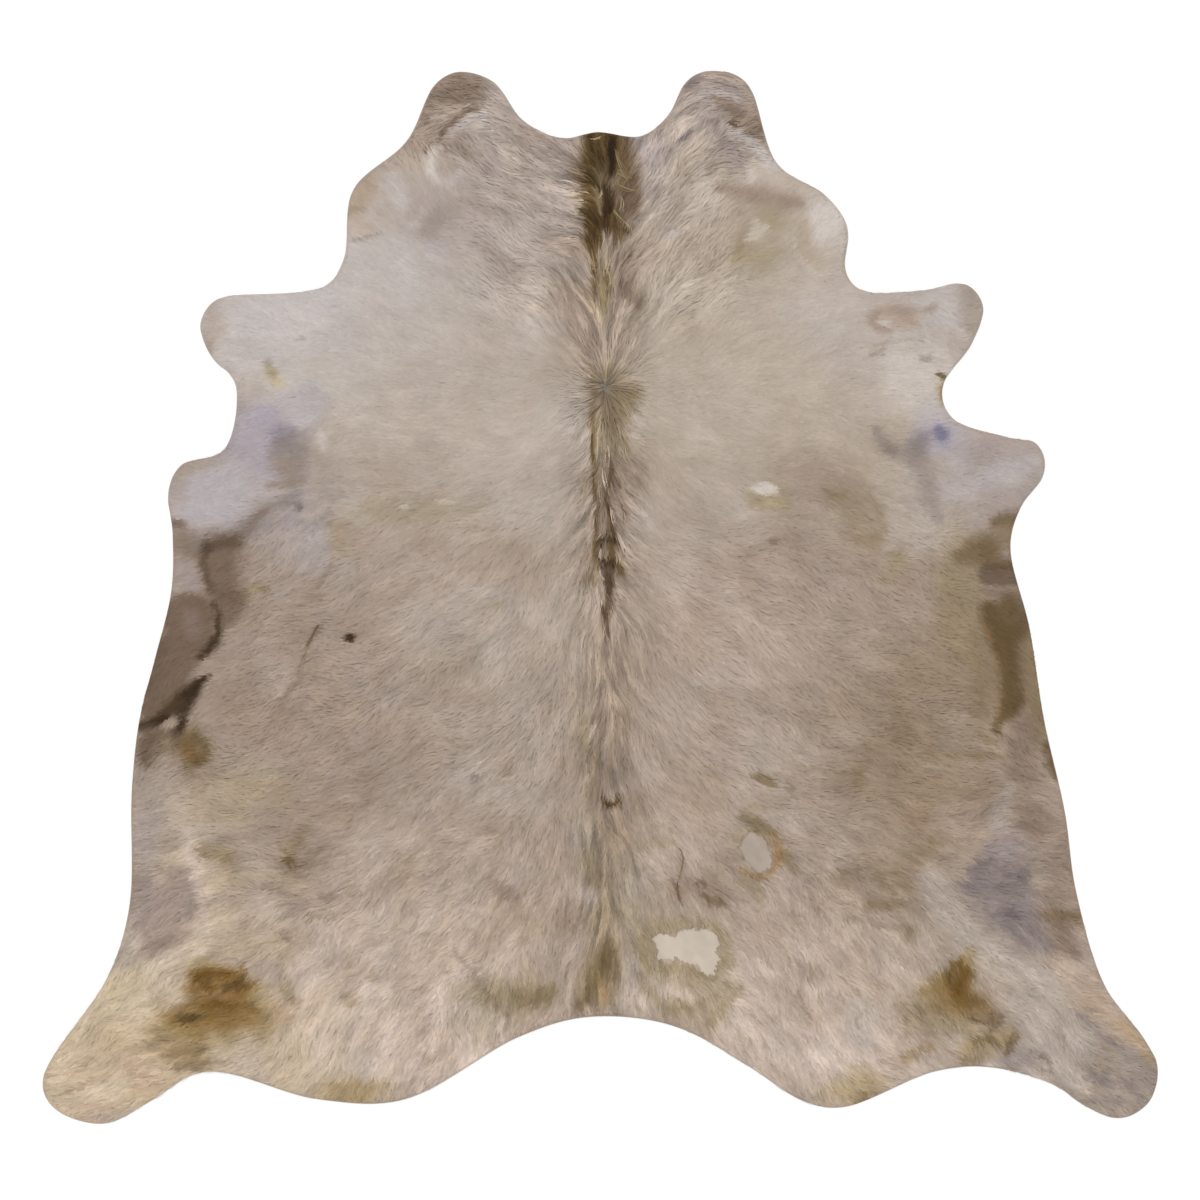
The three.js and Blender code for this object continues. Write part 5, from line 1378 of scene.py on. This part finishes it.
def make_locks(name, material, cell, steps, length, width, lift, seed):
    """One layer of the coat: a lock rooted in each cell of an even grid, jittered."""
    r = np.random.default_rng(seed)
    low, high = 36.0, 1166.0
    n = int(round((high - low) / cell))
    cell = (high - low) / n
    gx, gy = np.meshgrid(np.arange(n), np.arange(n))
    gx, gy = gx.ravel(), gy.ravel()
    x = low + (gx + r.uniform(0, 1, n * n)) * cell
    y = low + (gy + r.uniform(0, 1, n * n)) * cell
    keep = (sample(DEPTH, x, y) > 1.2) & (bare(x, y) > 1.0)
    x, y, gx, gy = x[keep], y[keep], gx[keep], gy[keep]
    count = len(x)
    size = hair_length(x, y) * length * r.uniform(0.72, 1.22, count)
    depth = sample(DEPTH, x, y)
    turn = r.normal(0, 0.10, count)
    bend = r.normal(0, 0.10, count)

    def walk(size):
        path = np.empty((count, steps + 1, 2), np.float32)
        px, py = x.copy(), y.copy()
        path[:, 0, 0], path[:, 0, 1] = px, py
        for s in range(steps):
            u, v = sample(LIE_U, px, py), sample(LIE_V, px, py)
            a = turn + bend * s
            c, d = np.cos(a), np.sin(a)
            u, v = u * c - v * d, u * d + v * c
            px, py = px + u * size / steps, py + v * size / steps
            path[:, s + 1, 0], path[:, s + 1, 1] = px, py
        return path

    over = r.uniform(-1.2, 0.05, count)
    lap = r.uniform(0.90, 1.06, count)
    for _ in range(9):
        path = walk(size)
        tip = path[:, -1]
        bad = sample(DEPTH, tip[:, 0], tip[:, 1]) < -over
        mid = path[:, steps // 2 + 1]
        bad |= sample(DEPTH, mid[:, 0], mid[:, 1]) < -over
        bad |= bare(tip[:, 0], tip[:, 1]) < lap
        bad |= bare(mid[:, 0], mid[:, 1]) < lap
        if not bad.any():
            break
        size = np.where(bad, size * 0.74, size)
    keep = (size > 2.0) & ~bad
    x, y, gx, gy, size, path = x[keep], y[keep], gx[keep], gy[keep], size[keep], path[keep]
    count = len(x)
    each = r.normal(0, 1, count)
    rough = roughness(x, y)
    slide, aside = r.normal(0, 1, count) * (0.5 + rough), r.normal(0, 0.5, count)
    spread = 0.02 + 0.08 * rough + 0.06 * np.exp(-(((x - 605) / 50) ** 2))
    tall = pile_height(x, y) * (0.88 + spread * r.uniform(-1, 1, count)) * np.clip(size / 9, 0.45, 1) + lift * np.clip(0.9 * rough - 0.3, 0.06, 0.9) * (1 - 0.3 * smoothstep((y - 740) / 100))
    edge = smoothstep(sample(DEPTH, x, y) / 5)
    t = np.linspace(0, 1, steps + 1)[None]
    sleek = np.clip(1.1 - rough, 0, 0.6)[:, None]
    rise = np.sin(np.clip(t / 0.62, 0, 1) * math.pi / 2) * (1 - sleek) + sleek
    rise = rise * (1 - (0.38 - 0.4 * sleek) * smoothstep((t - 0.5) / 0.5) * r.uniform(0.3, 1.2, (count, 1)))
    heights = 2.1 + tall[:, None] * rise * (0.55 + 0.45 * edge[:, None])
    heights += relief(path[..., 0].ravel(), path[..., 1].ravel()).reshape(heights.shape) * (0.25 + 0.75 * t)
    ends = smoothstep(-sample(DEPTH, path[:, -1, 0], path[:, -1, 1]) / 1.2 + 0.5)
    heights[:, -1] -= 0.8 * ends
    heights = np.maximum(heights, 2.2)
    half = 0.5 * width * r.uniform(0.75, 1.3, count)[:, None] * np.interp(t[0, :-1], [0, 0.35, 0.75, 1], [0.75, 1.0, 0.72, 0.2])[None]
    low = smoothstep((y - 740) / 100)[:, None]
    half = half * (1 + 1.2 * sleek + 0.12 * smoothstep((y - 430) / 100)[:, None] + 0.40 * low)
    room = sample(DEPTH, path[:, :-1, 0].ravel(), path[:, :-1, 1].ravel()).reshape(half.shape)
    half = np.minimum(half, np.maximum(room + 0.2, 0.15))
    rolls = r.normal(0, 1, count) * 0.07 * rough
    points, tris = blades(path, heights, half.astype(np.float32), rolls)
    per = points.shape[1]
    faces = (np.arange(count)[:, None, None] * per + tris[None]).reshape(-1, 3)
    me = mesh_from(name, points.reshape(-1, 3), faces, 3)
    strand_maps(me, count, steps + 1, np.stack([gx / n, 1 - (gy + 1) / n], 1), 1 / n, seed + 7)
    colour = np.empty((count, per, 3), np.float32)
    for s in range(steps + 1):
        u, v = sample(LIE_U, path[:, s, 0], path[:, s, 1]), sample(LIE_V, path[:, s, 0], path[:, s, 1])
        c = albedo(hair_colour(path[:, s, 0] + slide * u - aside * v, path[:, s, 1] + slide * v + aside * u, np.full(count, s / steps), each))
        colour[:, 2 * s] = c
        if s < steps:
            colour[:, 2 * s + 1] = c
    add_colour(me, "coat", colour.reshape(-1, 3))
    me.polygons.foreach_set("use_smooth", np.ones(len(me.polygons), bool))
    ob = add_piece(name, me, material)
    log(f"{name}: {count} locks, {len(faces)} triangles")
    return ob


def smooth_way(points, count):
    """count places evenly along a smooth line through the points."""
    ends = np.concatenate([[2 * points[0] - points[1]], points, [2 * points[-1] - points[-2]]])
    dense = rounded(ends, 12)[12 : 12 * (len(ends) - 2) + 1]
    far = np.concatenate([[0], np.cumsum(np.hypot(*np.diff(dense, axis=0).T))])
    at = np.linspace(0, far[-1], count)
    return np.stack([np.interp(at, far, dense[:, 0]), np.interp(at, far, dense[:, 1])], 1)


def make_curls(name, material, seed):
    """The long curly hairs on the spine, each a lock of a few thin strands."""
    r = np.random.default_rng(seed)
    steps, per_lock = 8, 8
    rows = []
    for colour, thick, spread, way in CURLS:
        for _ in range(per_lock):
            rows.append((smooth_way(np.array(way, float), steps + 1), r.normal(0, spread, 2), colour, thick))
    count = len(rows)
    path = np.empty((count, steps + 1, 2), np.float32)
    heights = np.empty((count, steps + 1), np.float32)
    colour = np.empty((count, 2 * steps + 1, 3), np.float32)
    for i, (way, shift, name_of, _) in enumerate(rows):
        t = np.linspace(0, 1, steps + 1)
        along = way[-1] - way[0]
        side = np.array([-along[1], along[0]]) / math.hypot(*along)
        wave = 0.7 * np.sin(t * r.uniform(4, 7) + r.uniform(0, 6)) * t
        path[i] = way + shift * (0.5 + 0.7 * t[:, None]) + side * wave[:, None]
        heights[i] = 2.2 + (6.2 + r.uniform(-0.8, 1.6)) * np.sin(np.clip(t / 0.5, 0, 1) * math.pi / 2) * (1 - 0.35 * smoothstep((t - 0.6) / 0.4))
        tone = (1 + r.normal(0, 0.07)) * (0.80 + 0.30 * np.sin(np.clip(t * 1.3, 0, 1) * math.pi / 2))
        c = albedo(np.clip(np.array(COLOUR[name_of])[None] * tone[:, None], 8, 250))
        colour[i, 0:-1:2], colour[i, 1::2], colour[i, -1] = c[:-1], c[:-1], c[-1]
    t = np.linspace(0, 1, steps + 1)
    half = np.array([row[3] for row in rows])[:, None] * r.uniform(0.6, 1.2, count)[:, None] * np.interp(t[:-1], [0, 0.3, 0.8, 1], [0.8, 1.0, 0.7, 0.2])[None]
    points, tris = blades(path, heights, half.astype(np.float32), r.normal(0, 0.4, count))
    per = points.shape[1]
    faces = (np.arange(count)[:, None, None] * per + tris[None]).reshape(-1, 3)
    me = mesh_from(name, points.reshape(-1, 3), faces, 3)
    n = int(math.ceil(math.sqrt(count)))
    i = np.arange(count)
    strand_maps(me, count, steps + 1, np.stack([(i % n) / n, (i // n) / n], 1), 1 / n, seed + 7)
    add_colour(me, "coat", colour.reshape(-1, 3))
    me.polygons.foreach_set("use_smooth", np.ones(len(me.polygons), bool))
    return add_piece(name, me, material)


# -------------------------------------------------------------------- the rug
skin = make_skin()
log("skin")
hair = hair_material("hide_hair", 0.6)
coat = [
    make_locks("coat_under", hair, 4.45, 2, 0.85, 5.2, -1.9, 61),
    make_locks("coat_lower", hair, 4.75, 3, 0.95, 2.1, 0.35, 62),
    make_locks("coat_middle", hair, 4.75, 3, 1.0, 1.8, 0.7, 63),
    make_locks("coat_upper", hair, 4.75, 3, 1.05, 1.55, 1.05, 64),
    make_locks("coat_top", hair, 4.75, 3, 1.1, 1.3, 1.4, 65),
    make_curls("spine_curls", hair, 66),
]

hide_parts("hide")
for piece in [skin, *coat]:
    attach(piece, "root")

# ------------------------------------------------------------- floor and light
floor_mesh = bpy.data.meshes.new("floor")
half = 30.0
floor_mesh.from_pydata([(-half, -half, -0.0003), (half, -half, -0.0003), (half, half, -0.0003), (-half, half, -0.0003)], [], [(0, 1, 2, 3)])
floor = bpy.data.objects.new("floor", floor_mesh)
bpy.context.scene.collection.objects.link(floor)
pale = bpy.data.materials.new("floor_pale")
tree, nodes, links, bsdf = nodes_of(pale)
bsdf.inputs["Base Color"].default_value = (0.94, 0.94, 0.94, 1)
bsdf.inputs["Roughness"].default_value = 0.9
bsdf.inputs["Specular IOR Level"].default_value = 0.0
floor_mesh.materials.append(pale)

world = bpy.data.worlds.new("studio")
bpy.context.scene.world = world
world.use_nodes = True
world.node_tree.nodes["Background"].inputs["Color"].default_value = (1, 1, 1, 1)
world.node_tree.nodes["Background"].inputs["Strength"].default_value = 0.62


def soft_sun(name, strength, angle, tilt_from, tilt):
    """A very soft distant lamp; tilt_from is the compass heading that it shines from, 90 the neck end."""
    data = bpy.data.lights.new(name, "SUN")
    data.energy = strength
    data.angle = math.radians(angle)
    ob = bpy.data.objects.new(name, data)
    bpy.context.scene.collection.objects.link(ob)
    a, b = math.radians(tilt_from), math.radians(tilt)
    back = Vector((math.cos(a) * math.sin(b), math.sin(a) * math.sin(b), math.cos(b)))
    ob.rotation_mode = "QUATERNION"
    ob.rotation_quaternion = back.to_track_quat("Z", "Y")
    ob.location = back * 4
    return ob


soft_sun("key", 1.30, 50, 110, 30)
soft_sun("fill", 0.60, 70, -60, 25)

# ------------------------------------------------------------------- camera
camera_data = bpy.data.cameras.new("camera")
camera = bpy.data.objects.new("camera", camera_data)
bpy.context.scene.collection.objects.link(camera)
camera_data.sensor_width = 36
DISTANCE = 6.6
FRAME = SPAN * UNIT
camera_data.lens = 36 * (DISTANCE - 0.004) / FRAME
camera_data.clip_end = 100
camera.location = ((600 - MIDDLE[0]) * UNIT, (MIDDLE[1] - 600) * UNIT, DISTANCE)
camera.rotation_euler = (0, 0, 0)
bpy.context.scene.camera = camera

scene = bpy.context.scene
scene.view_settings.view_transform = "Standard"
scene.view_settings.look = "None"
scene.view_settings.exposure = 0.0
scene.view_settings.gamma = 1.0

log(f"area {AREA:.4f}, triangles " + str(sum(len(p.data.polygons) for p in [skin, *coat])))
